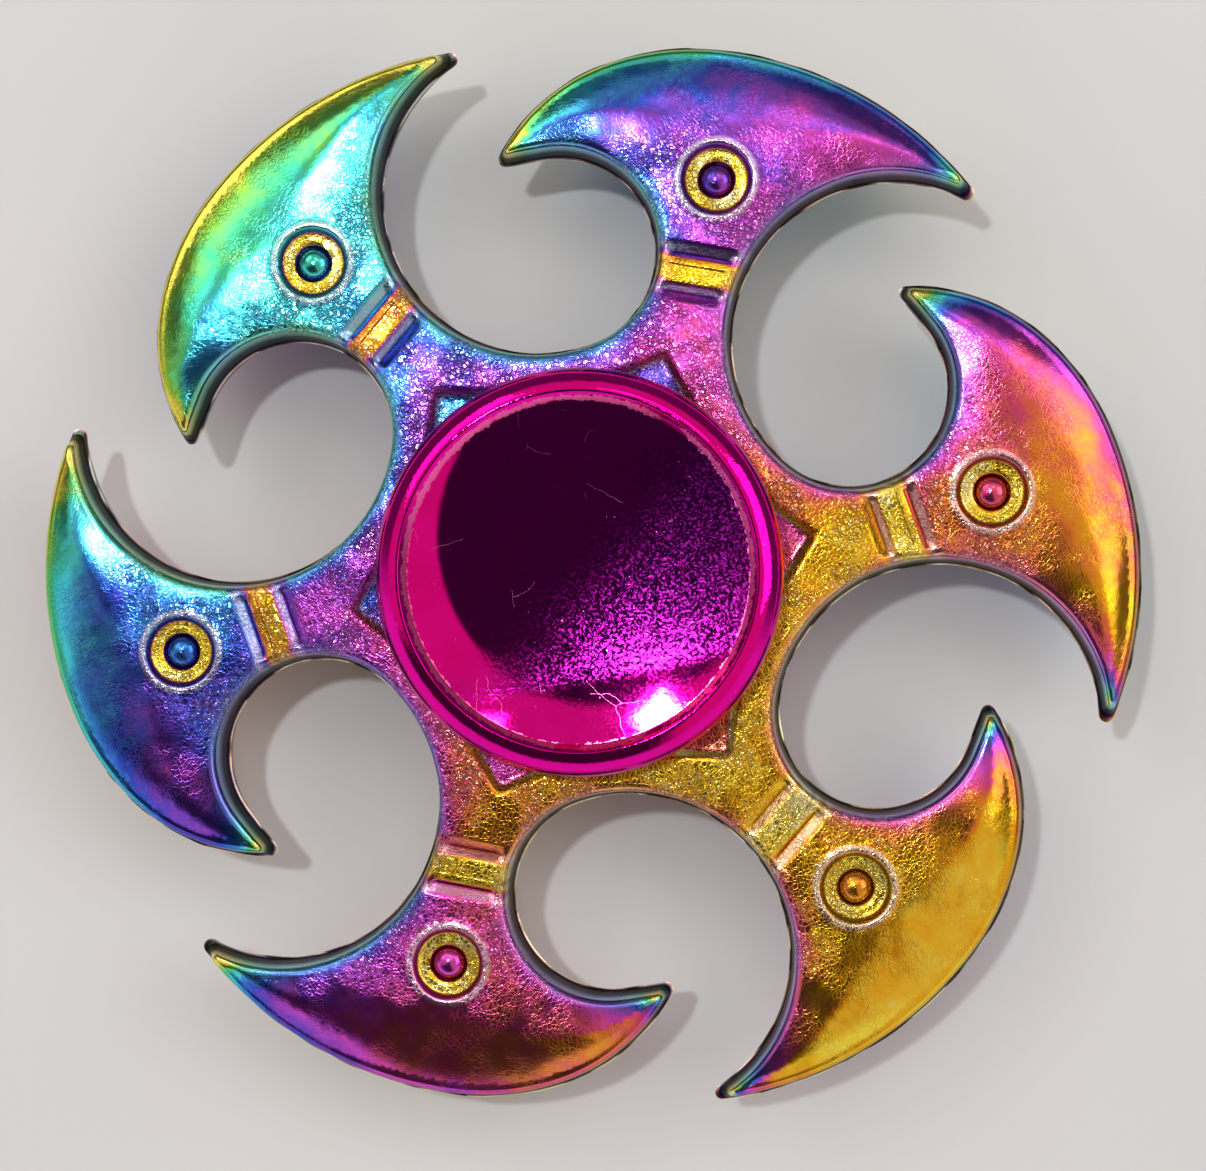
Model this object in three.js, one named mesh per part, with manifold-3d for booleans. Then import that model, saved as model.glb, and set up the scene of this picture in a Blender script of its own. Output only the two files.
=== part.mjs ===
// Six-bladed fidget spinner: one die-cast blade ring on a 608 ball bearing, held between two finger caps.
// Millimetres. The origin is the middle of the bearing, +Z is the spin axis, and blade 1 points along +X.

import * as THREE from "three";
import { mergeVertices } from "three/addons/utils/BufferGeometryUtils.js";
import Module from "manifold-3d";

const wasm = await Module();
wasm.setup();

const TAU = Math.PI * 2;
const deg = (a) => (a * Math.PI) / 180;

// ---------------------------------------------------------------------------------------------------
// Driving dimensions
// ---------------------------------------------------------------------------------------------------

// 608 ball bearing
const BEARING_OUTER_R = 11;
const BEARING_BORE_R = 4;
const BEARING_HALF = 3.5;
const BALL_COUNT = 7;
const BALL_R = 3.969 / 2;
const PITCH_R = 7.5;
const TRACK_R = 2.1; // radius of the ball track's section, a little larger than the ball
const INNER_SHOULDER_R = 6.1;
const OUTER_SHOULDER_R = 8.9;
const RACE_CHAMFER = 0.3;
const SEAT_R = 9.65; // step in the outer race that holds the shield
const SEAT_Z = 2.55;
const CLIP_GROOVE_R = 9.92;
const CLIP_GROOVE_Z = [2.95, 3.3];
const SHIELD_R = [6.25, 9.62];
const SHIELD_Z = [2.6, 2.8];
const SHIELD_LIP = { r: 9.25, z: 2.9, slope: 0.15 };
const CLIP_R = [9.42, 9.84];
const CLIP_Z = [2.98, 3.27];
const CLIP_GAP = deg(22);

// Ball cage: two stamped ribbons riveted together between the balls
const RIBBON_R = [6.7, 8.3];
const RIBBON_THICK = 0.3;
const CUP_R = BALL_R + 0.12;
const RIBBON_PARTING = 0.03; // half the gap between the two ribbons
const CAGE_RIVET_R = 0.3;
const CAGE_RIVET_HEAD_R = 0.55;
const CAGE_RIVET_HEAD = 0.24;
const CAGE_RIVET_TOP = 0.75; // radius of the head's flat top, as a share of the head's
const CAGE_RIVET_PLAY = 0.01;
const CAGE_RIVET_HOLE_R = 0.36;

// Blade ring outline. Every curve is an arc, given in the frame of a blade that points along +X.
const BLADES = 6;
const SECTOR = TAU / BLADES;
const GAP_BIG = { x: 19.94, y: 9.64, r: 9.53 }; // finger gap, the side along the next blade's belly
const GAP_SMALL_R = 5.91; // finger gap, the side round this blade's neck
const GAP_JOIN = deg(-142.65); // direction in which the two gap arcs meet
const LIP_R = 40; // the gap's nearly straight end at the short tip
const LIP_JOIN = deg(26.1);
const BACK = { x: 9.91, y: -2.07, r: 21.45 }; // outer edge of the blade, long-tip side
const BACK_MID_R = 14.28;
const BACK_MID_JOIN = deg(12.2);
const BACK_END_R = 10.88; // outer edge of the blade, short-tip side
const BACK_END_JOIN = deg(39.05);
const LONG_TIP = { x: 27.5, y: -14.8 }; // roughly where the tips are, to choose between two crossings
const SHORT_TIP = { x: 21.3, y: 12.4 };
const STEPS = { longNose: 2, back: 6, backMid: 2, backEnd: 4, shortNose: 2, lip: 1, small: 10, big: 11 };

// Blade ring section: rings from the parting line up to the face. grow moves the outline outwards.
const SEAM_RING = { grow: 0.32, nose: 0.42 };
const RIM_RING = { grow: 0, nose: 0.25 };
const FACE_RING = { grow: -0.35, nose: 0.06 };
const SEAM_HALF = 0.16;
const RIM_ROUND = 0.45;
const HUB_HALF = 3.0; // half thickness round the bearing
const BLADE_HALF = 2.65; // half thickness over the rivet
const TIP_HALF = 2.1;
const EDGE_HALF = 1.7; // half thickness along the outer edge
const HUB_FLAT_R = 13;
const NECK_END_R = 19;
const TIP_FADE = 6; // length over which the gap-side rim drops towards a tip
const CROWN_WIDTH = 4.7; // width of the slope inside the outer edge
const CROWN_SHARE = 0.55; // most of the blade's width that the slope may take
const CROWN_MIDWAY = { reach: 0.5, drop: 0.25 }; // how far down the slope is halfway in
const SWELL_POWER = 0.7; // below 1 the outer edge thins quickly after the tip, then evenly

// Details cast into both faces
const RIVET_U = 23.7;
const RIVET_POCKET_R = 2.05;
const RIVET_FLOOR_R = 1.78;
const RIVET_EYE_R = 1.05;
const RIVET_DOME_R = [0.9, 0.6];
const RIVET_DEPTH = 0.35;
const DOME_DROP = [0.7, 0.32, 0.2]; // how far below the face the dome's foot, shoulder and top are
const NECK = { u: 18.5, v: -0.75, tilt: deg(8.7) }; // middle of the raised bar across the neck
// Where each groove across the neck starts, is deepest and ends, measured out from the bar's middle
const GROOVE_OUTER = [0.5, 0.8, 1.5];
const GROOVE_INNER = [-2.0, -1.45, -0.9];
const GROOVE_DEPTH = 0.38;
const GROOVE_LENGTH = 7;
const GROOVE_OVERRUN = 0.05; // the groove's sides start this far above the face
const CHEVRON = { tipU: 13.55, tipV: -0.45, baseU: 11.4, half: 2.3, depth: 0.35 };

// Finger caps
const CAP_R = 11.52;
const CAP_TOP = 6.0;
const CAP_UNDER = 3.9;
const CAP_SIDE_TOP = 4.75;
const CAP_CHAMFER = 0.35;
const LAND_R = [10.1, 10.5]; // the narrow flat on the rim
const DISH_R = 9.6;
const DISH_EDGE = 5.5;
const DISH_FLOOR = 4.75;
const DISH_STATIONS = [1, 0.7, 0.4, 0]; // share of the dish's radius
const DISH_LIP = { out: 0.55, up: 0.75 }; // bend between the dish and the flat on the rim
const SHOULDER_ANGLES = [30, 60].map(deg);
const BOSS_R = 5.7;
const BOSS_Z = BEARING_HALF + 0.02;
const SLEEVE_R = BEARING_BORE_R - 0.04;
const SPLIT_Z = 0.15; // half the gap between the two sleeves inside the bearing
const PIN_R = 2.3;
const PIN_END = -3.4;
const PIN_CHAMFER = 0.4;
const SOCKET_R = 2.34;
const SOCKET_END = -3.7;

const PRESS_GAP = 0.02; // radial room left between pressed pieces
const CLEARANCE = 1; // how far a cutter reaches past the face it cuts
const ROUND_STEPS = 32;
const SMALL_STEPS = 8;
const RIVET_STEPS = 12;
const BALL_STEPS = [10, 6];
const CUP_STEPS = 8;
const CLIP_STEPS = 12;

// ---------------------------------------------------------------------------------------------------
// Solids from surfaces
// ---------------------------------------------------------------------------------------------------

function signedVolume(position, index) {
  const [a, b, c] = [new THREE.Vector3(), new THREE.Vector3(), new THREE.Vector3()];
  let sum = 0;
  for (let i = 0; i < index.length; i += 3) {
    a.fromBufferAttribute(position, index[i]);
    b.fromBufferAttribute(position, index[i + 1]);
    c.fromBufferAttribute(position, index[i + 2]);
    sum += a.dot(b.cross(c));
  }
  return sum;
}

// Merges shared corners, drops empty triangles and turns the faces outwards.
function closed(geometry) {
  const bare = geometry.clone();
  bare.deleteAttribute("normal");
  bare.deleteAttribute("uv");
  const merged = mergeVertices(bare, 1e-4);
  const source = merged.index.array;
  const kept = [];
  for (let i = 0; i < source.length; i += 3) {
    const [p, q, r] = [source[i], source[i + 1], source[i + 2]];
    if (p !== q && q !== r && r !== p) {
      kept.push(p, q, r);
    }
  }
  if (signedVolume(merged.attributes.position, kept) < 0) {
    kept.reverse();
  }
  merged.setIndex(kept);
  return merged;
}

function fromTriangles(points, triangles) {
  const geometry = new THREE.BufferGeometry();
  geometry.setAttribute("position", new THREE.Float32BufferAttribute(points.flat(), 3));
  geometry.setIndex(triangles.flat());
  return closed(geometry);
}

function toManifold(geometry) {
  return new wasm.Manifold(
    new wasm.Mesh({
      numProp: 3,
      vertProperties: new Float32Array(geometry.attributes.position.array),
      triVerts: new Uint32Array(geometry.index.array),
    }),
  );
}

function cutBy(geometry, cutters) {
  let body = toManifold(geometry);
  for (const cutter of cutters) {
    body = body.subtract(toManifold(cutter));
  }
  const mesh = body.getMesh();
  const result = new THREE.BufferGeometry();
  result.setAttribute("position", new THREE.BufferAttribute(mesh.vertProperties, 3));
  result.setIndex(new THREE.BufferAttribute(mesh.triVerts, 1));
  return result;
}

// A solid of revolution about Z from [radius, height] points.
function turnedSolid(profile, steps = ROUND_STEPS) {
  const lathe = new THREE.LatheGeometry(profile.map(([r, z]) => new THREE.Vector2(r, z)), steps);
  lathe.rotateX(Math.PI / 2);
  return closed(lathe);
}

function loop(profile) {
  return [...profile, profile[0]];
}

function flippedZ(geometry) {
  return closed(geometry.clone().scale(1, 1, -1));
}

// ---------------------------------------------------------------------------------------------------
// Blade ring outline
// ---------------------------------------------------------------------------------------------------

const along = (c, r, a) => ({ x: c.x + r * Math.cos(a), y: c.y + r * Math.sin(a) });
const angleTo = (c, p) => Math.atan2(p.y - c.y, p.x - c.x);
const above = (a, limit) => (a < limit ? above(a + TAU, limit) : a);
const below = (a, limit) => (a > limit ? below(a - TAU, limit) : a);

function turned(p, a) {
  const [c, s] = [Math.cos(a), Math.sin(a)];
  return { x: p.x * c - p.y * s, y: p.x * s + p.y * c };
}

// The crossing of two circles that lies nearest to a point.
function crossing(c1, r1, c2, r2, near) {
  const [dx, dy] = [c2.x - c1.x, c2.y - c1.y];
  const d = Math.hypot(dx, dy);
  const a = (r1 * r1 - r2 * r2 + d * d) / (2 * d);
  const h = Math.sqrt(Math.max(r1 * r1 - a * a, 0));
  const mid = { x: c1.x + (a * dx) / d, y: c1.y + (a * dy) / d };
  const found = [1, -1].map((s) => ({ x: mid.x - (s * h * dy) / d, y: mid.y + (s * h * dx) / d }));
  const reach = (p) => Math.hypot(p.x - near.x, p.y - near.y);
  return reach(found[0]) < reach(found[1]) ? found[0] : found[1];
}

const GAP_SMALL = along(GAP_BIG, GAP_BIG.r - GAP_SMALL_R, GAP_JOIN);
const LIP = along(GAP_SMALL, GAP_SMALL_R - LIP_R, LIP_JOIN);
const BACK_MID = along(BACK, BACK.r - BACK_MID_R, BACK_MID_JOIN);
const BACK_END = along(BACK_MID, BACK_MID_R - BACK_END_R, BACK_END_JOIN);

// One stretch of the outline, without its last point. side is 1 on a bulge and -1 in a hollow.
function stretch(kind, c, r, from, to, side) {
  const n = STEPS[kind];
  return Array.from({ length: n }, (_, i) => {
    const a = from + ((to - from) * i) / n;
    return { ...along(c, r, a), kind, nx: side * Math.cos(a), ny: side * Math.sin(a) };
  });
}

// One sixth of the outline, counter-clockwise, moved outwards by grow, with round noses at the tips.
function sector({ grow, nose }) {
  const gapBefore = turned(GAP_BIG, -SECTOR);
  const long = crossing(BACK, BACK.r + grow - nose, gapBefore, GAP_BIG.r - grow + nose, LONG_TIP);
  const short = crossing(BACK_END, BACK_END_R + grow - nose, LIP, LIP_R - grow + nose, SHORT_TIP);
  const longFrom = angleTo(long, gapBefore);
  const longTo = angleTo(BACK, long);
  const shortFrom = angleTo(BACK_END, short);
  const shortTo = angleTo(short, LIP);
  const bigTo = angleTo(GAP_BIG, turned(long, SECTOR));
  return [
    ...stretch("longNose", long, nose, longFrom, above(longTo, longFrom), 1),
    ...stretch("back", BACK, BACK.r + grow, longTo, BACK_MID_JOIN, 1),
    ...stretch("backMid", BACK_MID, BACK_MID_R + grow, BACK_MID_JOIN, BACK_END_JOIN, 1),
    ...stretch("backEnd", BACK_END, BACK_END_R + grow, BACK_END_JOIN, shortFrom, 1),
    ...stretch("shortNose", short, nose, shortFrom, above(shortTo, shortFrom), 1),
    ...stretch("lip", LIP, LIP_R - grow, angleTo(LIP, short), LIP_JOIN, -1),
    ...stretch("small", GAP_SMALL, GAP_SMALL_R - grow, LIP_JOIN, GAP_JOIN, -1),
    ...stretch("big", GAP_BIG, GAP_BIG.r - grow, GAP_JOIN, below(bigTo, GAP_JOIN), -1),
  ];
}

function outline(ring) {
  const one = sector(ring);
  return Array.from({ length: BLADES }, (_, k) =>
    one.map((p) => {
      const n = turned({ x: p.nx, y: p.ny }, k * SECTOR);
      return { ...p, ...turned(p, k * SECTOR), nx: n.x, ny: n.y };
    }),
  ).flat();
}

// ---------------------------------------------------------------------------------------------------
// Blade ring surface
// ---------------------------------------------------------------------------------------------------

const mix = (a, b, t) => a + (b - a) * t;
const clamp01 = (t) => Math.min(1, Math.max(0, t));
const smooth = (t) => clamp01(t) * clamp01(t) * (3 - 2 * clamp01(t));

function plateHalf(p) {
  const r = Math.hypot(p.x, p.y);
  return mix(HUB_HALF, BLADE_HALF, smooth((r - HUB_FLAT_R) / (NECK_END_R - HUB_FLAT_R)));
}

const isBack = (p) => p.kind.startsWith("back");
const isNose = (p) => p.kind.endsWith("Nose");

// Height of the face at every point of the face ring, and how far in the crown's slope reaches there.
function faceHeights(ring) {
  const n = ring.length;
  const tips = ring.filter(isNose);
  const limits = ring.filter((p) => !isBack(p));
  const nearest = (p, others) => Math.min(...others.map((q) => Math.hypot(q.x - p.x, q.y - p.y)));
  const backCount = STEPS.back + STEPS.backMid + STEPS.backEnd;
  let backIndex = 0;
  return ring.map((p, i) => {
    if (isNose(p)) {
      return { z: TIP_HALF, reach: 0 };
    }
    if (isBack(p)) {
      backIndex = isBack(ring[(i + n - 1) % n]) ? backIndex + 1 : 1;
      const swell = Math.sin((Math.PI * backIndex) / (backCount + 1)) ** SWELL_POWER;
      const reach = Math.min(CROWN_WIDTH, CROWN_SHARE * nearest(p, limits));
      return { z: mix(TIP_HALF, EDGE_HALF, swell), reach };
    }
    return { z: mix(TIP_HALF, plateHalf(p), smooth(nearest(p, tips) / TIP_FADE)), reach: 0 };
  });
}

function bladeRingBlank() {
  const seam = outline(SEAM_RING);
  const rim = outline(RIM_RING);
  const face = outline(FACE_RING);
  const heights = faceHeights(face);
  const n = face.length;
  const points = [];
  const triangles = [];
  const add = (x, y, z) => points.push([x, y, z]) - 1;
  const quad = (a, b, c, d) => triangles.push([a, b, c], [a, c, d]);

  const walls = [];
  for (const side of [-1, 1]) {
    walls.push({
      side,
      seam: seam.map((p) => add(p.x, p.y, side * SEAM_HALF)),
      rim: rim.map((p, i) => add(p.x, p.y, side * (heights[i].z - RIM_ROUND))),
      face: face.map((p, i) => add(p.x, p.y, side * heights[i].z)),
    });
  }
  const [low, high] = walls;
  for (let i = 0; i < n; i++) {
    const j = (i + 1) % n;
    quad(low.seam[i], low.seam[j], high.seam[j], high.seam[i]);
    quad(high.seam[i], high.seam[j], high.rim[j], high.rim[i]);
    quad(high.rim[i], high.rim[j], high.face[j], high.face[i]);
    quad(low.rim[i], low.rim[j], low.seam[j], low.seam[i]);
    quad(low.face[i], low.face[j], low.rim[j], low.rim[i]);
  }

  const boreR = BEARING_OUTER_R + PRESS_GAP;
  const bores = walls.map(({ side }) =>
    Array.from({ length: ROUND_STEPS }, (_, i) => {
      const a = (TAU * i) / ROUND_STEPS;
      return add(boreR * Math.cos(a), boreR * Math.sin(a), side * HUB_HALF);
    }),
  );
  for (let i = 0; i < ROUND_STEPS; i++) {
    const j = (i + 1) % ROUND_STEPS;
    quad(bores[0][j], bores[0][i], bores[1][i], bores[1][j]);
  }

  walls.forEach(({ side, face: edge }, w) => {
    const up = (a, b, c) => triangles.push(side > 0 ? [a, b, c] : [a, c, b]);
    const inner = (fraction, drop) =>
      face.map((p, i) => {
        const reach = heights[i].reach * fraction;
        if (reach === 0) {
          return edge[i];
        }
        const z = mix(plateHalf(p), heights[i].z, drop);
        return add(p.x - p.nx * reach, p.y - p.ny * reach, side * z);
      });
    const half = inner(CROWN_MIDWAY.reach, CROWN_MIDWAY.drop);
    const ridge = inner(1, 0);
    for (const [outer, next] of [[edge, half], [half, ridge]]) {
      for (let i = 0; i < n; i++) {
        const j = (i + 1) % n;
        if (outer[j] !== next[j]) {
          up(outer[i], outer[j], next[j]);
        }
        if (outer[i] !== next[i]) {
          up(outer[i], next[j], next[i]);
        }
      }
    }
    const flat = (ids) => ids.map((id) => new THREE.Vector2(points[id][0], points[id][1]));
    const ids = [...ridge, ...bores[w]];
    const faces = THREE.ShapeUtils.triangulateShape(flat(ridge), [flat(bores[w])]);
    for (const [a, b, c] of faces) {
      const [p, q, r] = [points[ids[a]], points[ids[b]], points[ids[c]]];
      const area = (q[0] - p[0]) * (r[1] - p[1]) - (q[1] - p[1]) * (r[0] - p[0]);
      if (area > 0) {
        up(ids[a], ids[b], ids[c]);
      } else {
        up(ids[a], ids[c], ids[b]);
      }
    }
  });
  return fromTriangles(points, triangles);
}

// ---------------------------------------------------------------------------------------------------
// Details cut into the blade ring's faces, for a blade along +X and the upper face
// ---------------------------------------------------------------------------------------------------

const CLEAR_Z = HUB_HALF + CLEARANCE;

// Ring-shaped pocket with a small dome left standing in its eye.
function rivetCutter() {
  const floor = BLADE_HALF - RIVET_DEPTH;
  const [foot, shoulder, top] = DOME_DROP.map((drop) => BLADE_HALF - drop);
  const pocket = turnedSolid(
    [
      [0, CLEAR_Z],
      [RIVET_POCKET_R, CLEAR_Z],
      [RIVET_POCKET_R, BLADE_HALF],
      [RIVET_FLOOR_R, floor],
      [RIVET_EYE_R, floor],
      [RIVET_EYE_R, foot],
      [RIVET_DOME_R[0], foot],
      [RIVET_DOME_R[1], shoulder],
      [0, top],
    ],
    RIVET_STEPS,
  );
  return pocket.translate(RIVET_U, 0, 0);
}

// V-groove across the neck, with one steep and one gentle side.
function grooveCutter([from, bottom, to]) {
  const section = new THREE.Shape();
  section.moveTo(from, BLADE_HALF + GROOVE_OVERRUN);
  section.lineTo(bottom, BLADE_HALF - GROOVE_DEPTH);
  section.lineTo(to, BLADE_HALF + GROOVE_OVERRUN);
  section.lineTo(to, CLEAR_Z);
  section.lineTo(from, CLEAR_Z);
  section.closePath();
  const bar = new THREE.ExtrudeGeometry(section, { depth: GROOVE_LENGTH, bevelEnabled: false });
  bar.translate(0, 0, -GROOVE_LENGTH / 2);
  bar.rotateX(Math.PI / 2);
  bar.rotateZ(NECK.tilt);
  bar.translate(NECK.u, NECK.v, 0);
  return closed(bar);
}

// Three-cornered pocket that points out along the blade and runs in under the finger cap.
function chevronCutter() {
  const corners = [
    new THREE.Vector2(CHEVRON.tipU, CHEVRON.tipV),
    new THREE.Vector2(CHEVRON.baseU, CHEVRON.tipV + CHEVRON.half),
    new THREE.Vector2(CHEVRON.baseU, CHEVRON.tipV - CHEVRON.half),
  ];
  const depth = CLEAR_Z - HUB_HALF + CHEVRON.depth;
  const wedge = new THREE.ExtrudeGeometry(new THREE.Shape(corners), { depth, bevelEnabled: false });
  return closed(wedge.translate(0, 0, HUB_HALF - CHEVRON.depth));
}

function bladeRing() {
  const pattern = [rivetCutter(), grooveCutter(GROOVE_OUTER), grooveCutter(GROOVE_INNER), chevronCutter()];
  const cutters = [];
  for (let k = 0; k < BLADES; k++) {
    for (const detail of pattern) {
      const placed = detail.clone().rotateZ(k * SECTOR);
      cutters.push(placed, flippedZ(placed));
    }
  }
  return cutBy(bladeRingBlank(), cutters);
}

// ---------------------------------------------------------------------------------------------------
// Bearing
// ---------------------------------------------------------------------------------------------------

// Points of a ball track between two heights, seen from the race's shoulder radius.
function track(shoulderR, side) {
  const reach = Math.abs(shoulderR - PITCH_R);
  const half = Math.acos(reach / TRACK_R);
  const fractions = [1, 0.5, 0, -0.5, -1];
  return fractions.map((f) => [
    PITCH_R + side * TRACK_R * Math.cos(f * half),
    TRACK_R * Math.sin(f * half),
  ]);
}

const mirroredZ = (profile) => profile.map(([r, z]) => [r, -z]).reverse();

function outerRace() {
  const upper = [
    [BEARING_OUTER_R, BEARING_HALF - RACE_CHAMFER],
    [BEARING_OUTER_R - RACE_CHAMFER, BEARING_HALF],
    [SEAT_R, BEARING_HALF],
    [SEAT_R, CLIP_GROOVE_Z[1]],
    [CLIP_GROOVE_R, CLIP_GROOVE_Z[1]],
    [CLIP_GROOVE_R, CLIP_GROOVE_Z[0]],
    [SEAT_R, CLIP_GROOVE_Z[0]],
    [SEAT_R, SEAT_Z],
    [OUTER_SHOULDER_R, SEAT_Z],
  ];
  return turnedSolid(loop([...upper, ...track(OUTER_SHOULDER_R, 1), ...mirroredZ(upper)]));
}

function innerRace() {
  const upper = [
    [BEARING_BORE_R, BEARING_HALF - RACE_CHAMFER],
    [BEARING_BORE_R + RACE_CHAMFER, BEARING_HALF],
    [INNER_SHOULDER_R, BEARING_HALF],
  ];
  return turnedSolid(loop([...upper, ...track(INNER_SHOULDER_R, -1), ...mirroredZ(upper)]));
}

function shield() {
  const [inner, outer] = SHIELD_R;
  const [back, front] = SHIELD_Z;
  return turnedSolid(
    loop([
      [inner, back],
      [outer, back],
      [outer, SHIELD_LIP.z],
      [SHIELD_LIP.r, SHIELD_LIP.z],
      [SHIELD_LIP.r - SHIELD_LIP.slope, front],
      [inner, front],
    ]),
  );
}

// Open snap ring.
function clip() {
  const shape = new THREE.Shape();
  shape.absarc(0, 0, CLIP_R[1], CLIP_GAP / 2, TAU - CLIP_GAP / 2, false);
  shape.absarc(0, 0, CLIP_R[0], TAU - CLIP_GAP / 2, CLIP_GAP / 2, true);
  shape.closePath();
  const depth = CLIP_Z[1] - CLIP_Z[0];
  const ring = new THREE.ExtrudeGeometry(shape, { depth, bevelEnabled: false, curveSegments: CLIP_STEPS });
  return closed(ring.translate(0, 0, CLIP_Z[0]));
}

function cageRibbon() {
  const flat = RIBBON_PARTING + RIBBON_THICK;
  const outerR = CUP_R + RIBBON_THICK;
  const stations = [];
  for (let k = 0; k < BALL_COUNT; k++) {
    for (let i = 0; i <= CUP_STEPS; i++) {
      const a = Math.PI * (1 - i / CUP_STEPS);
      const foot = i === 0 || i === CUP_STEPS;
      const inner = [CUP_R * Math.cos(a), foot ? RIBBON_PARTING : CUP_R * Math.sin(a)];
      const run = foot ? Math.sqrt(outerR ** 2 - flat ** 2) * Math.cos(a) : outerR * Math.cos(a);
      const outer = [run, foot ? flat : outerR * Math.sin(a)];
      stations.push({ centre: (k * TAU) / BALL_COUNT, inner, outer });
    }
  }
  const points = [];
  for (const { centre, inner, outer } of stations) {
    const corners = [
      [RIBBON_R[0], inner],
      [RIBBON_R[1], inner],
      [RIBBON_R[1], outer],
      [RIBBON_R[0], outer],
    ];
    for (const [r, [s, z]] of corners) {
      const a = centre + s / PITCH_R;
      points.push([r * Math.cos(a), r * Math.sin(a), z]);
    }
  }
  const triangles = [];
  for (let i = 0; i < stations.length; i++) {
    const [p, q] = [i * 4, ((i + 1) % stations.length) * 4];
    for (let side = 0; side < 4; side++) {
      const next = (side + 1) % 4;
      triangles.push([p + side, q + side, q + next], [p + side, q + next, p + next]);
    }
  }
  const holes = [];
  for (let k = 0; k < BALL_COUNT; k++) {
    const upper = [
      [CAGE_RIVET_HOLE_R, CLEARANCE],
      [0, CLEARANCE],
    ];
    const hole = turnedSolid([...mirroredZ(upper), ...upper], SMALL_STEPS);
    const a = ((k + 0.5) * TAU) / BALL_COUNT;
    holes.push(hole.translate(PITCH_R * Math.cos(a), PITCH_R * Math.sin(a), 0));
  }
  return cutBy(fromTriangles(points, triangles), holes);
}

function cageRivet() {
  const grip = RIBBON_PARTING + RIBBON_THICK + CAGE_RIVET_PLAY;
  const end = grip + CAGE_RIVET_HEAD;
  const upper = [
    [CAGE_RIVET_R, grip],
    [CAGE_RIVET_HEAD_R, grip],
    [CAGE_RIVET_HEAD_R * CAGE_RIVET_TOP, end],
    [0, end],
  ];
  return turnedSolid([...mirroredZ(upper), ...upper], SMALL_STEPS);
}

// ---------------------------------------------------------------------------------------------------
// Finger caps
// ---------------------------------------------------------------------------------------------------

// The dished flange both caps share, from the edge of the boss to the middle of the dish.
function flangeProfile() {
  const [landIn, landOut] = LAND_R;
  const rise = CAP_TOP - CAP_SIDE_TOP;
  const shoulder = SHOULDER_ANGLES.map((a) => [
    landOut + (CAP_R - landOut) * Math.cos(a),
    CAP_SIDE_TOP + rise * Math.sin(a),
  ]);
  const dish = DISH_STATIONS.map((f) => [f * DISH_R, mix(DISH_FLOOR, DISH_EDGE, f * f)]);
  return [
    [BOSS_R, BOSS_Z],
    [BOSS_R, CAP_UNDER],
    [CAP_R - CAP_CHAMFER, CAP_UNDER],
    [CAP_R, CAP_UNDER + CAP_CHAMFER],
    [CAP_R, CAP_SIDE_TOP],
    ...shoulder,
    [landOut, CAP_TOP],
    [landIn, CAP_TOP],
    [mix(DISH_R, landIn, DISH_LIP.out), mix(DISH_EDGE, CAP_TOP, DISH_LIP.up)],
    ...dish,
  ];
}

function upperCap() {
  return turnedSolid([
    [0, PIN_END],
    [PIN_R - PIN_CHAMFER, PIN_END],
    [PIN_R, PIN_END + PIN_CHAMFER],
    [PIN_R, SPLIT_Z],
    [SLEEVE_R, SPLIT_Z],
    [SLEEVE_R, BOSS_Z],
    ...flangeProfile(),
  ]);
}

function lowerCap() {
  const flange = flangeProfile().map(([r, z]) => [r, -z]);
  return turnedSolid([
    [0, SOCKET_END],
    [SOCKET_R, SOCKET_END],
    [SOCKET_R, -SPLIT_Z],
    [SLEEVE_R, -SPLIT_Z],
    [SLEEVE_R, -BOSS_Z],
    ...flange,
  ]);
}

// ---------------------------------------------------------------------------------------------------
// Assembly
// ---------------------------------------------------------------------------------------------------

const FINISH = {
  rainbow: { color: 0x7a4fb0, roughness: 0.28, metalness: 1 },
  anodised: { color: 0xb5127f, roughness: 0.22, metalness: 1 },
  raceSteel: { color: 0xb9bcc0, roughness: 0.25, metalness: 1 },
  ballSteel: { color: 0xd2d5d9, roughness: 0.08, metalness: 1 },
  stampedSteel: { color: 0xa9abad, roughness: 0.4, metalness: 1 },
};

function piece(name, geometry, finish) {
  geometry.computeVertexNormals();
  const mesh = new THREE.Mesh(geometry, new THREE.MeshStandardMaterial(FINISH[finish]));
  mesh.name = name;
  return mesh;
}

const spinner = new THREE.Group();

const rotor = new THREE.Group();
rotor.add(piece("spinner_body", bladeRing(), "rainbow"));
rotor.add(piece("bearing_outer_race", outerRace(), "raceSteel"));
rotor.add(piece("upper_shield", shield(), "stampedSteel"));
rotor.add(piece("lower_shield", flippedZ(shield()), "stampedSteel"));
rotor.add(piece("upper_snap_ring", clip(), "stampedSteel"));
rotor.add(piece("lower_snap_ring", flippedZ(clip()), "stampedSteel"));
spinner.add(rotor);

const cage = new THREE.Group();
cage.add(piece("upper_cage_half", cageRibbon(), "stampedSteel"));
cage.add(piece("lower_cage_half", flippedZ(cageRibbon()), "stampedSteel"));
for (let k = 0; k < BALL_COUNT; k++) {
  const rivet = piece(`cage_rivet_${k + 1}`, cageRivet(), "stampedSteel");
  const a = ((k + 0.5) * TAU) / BALL_COUNT;
  rivet.position.set(PITCH_R * Math.cos(a), PITCH_R * Math.sin(a), 0);
  cage.add(rivet);
}
spinner.add(cage);

const balls = new THREE.Group();
for (let k = 0; k < BALL_COUNT; k++) {
  const sphere = closed(new THREE.SphereGeometry(BALL_R, ...BALL_STEPS));
  const ball = piece(`bearing_ball_${k + 1}`, sphere, "ballSteel");
  const a = (k * TAU) / BALL_COUNT;
  ball.position.set(PITCH_R * Math.cos(a), PITCH_R * Math.sin(a), 0);
  balls.add(ball);
}
spinner.add(balls);

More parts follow.
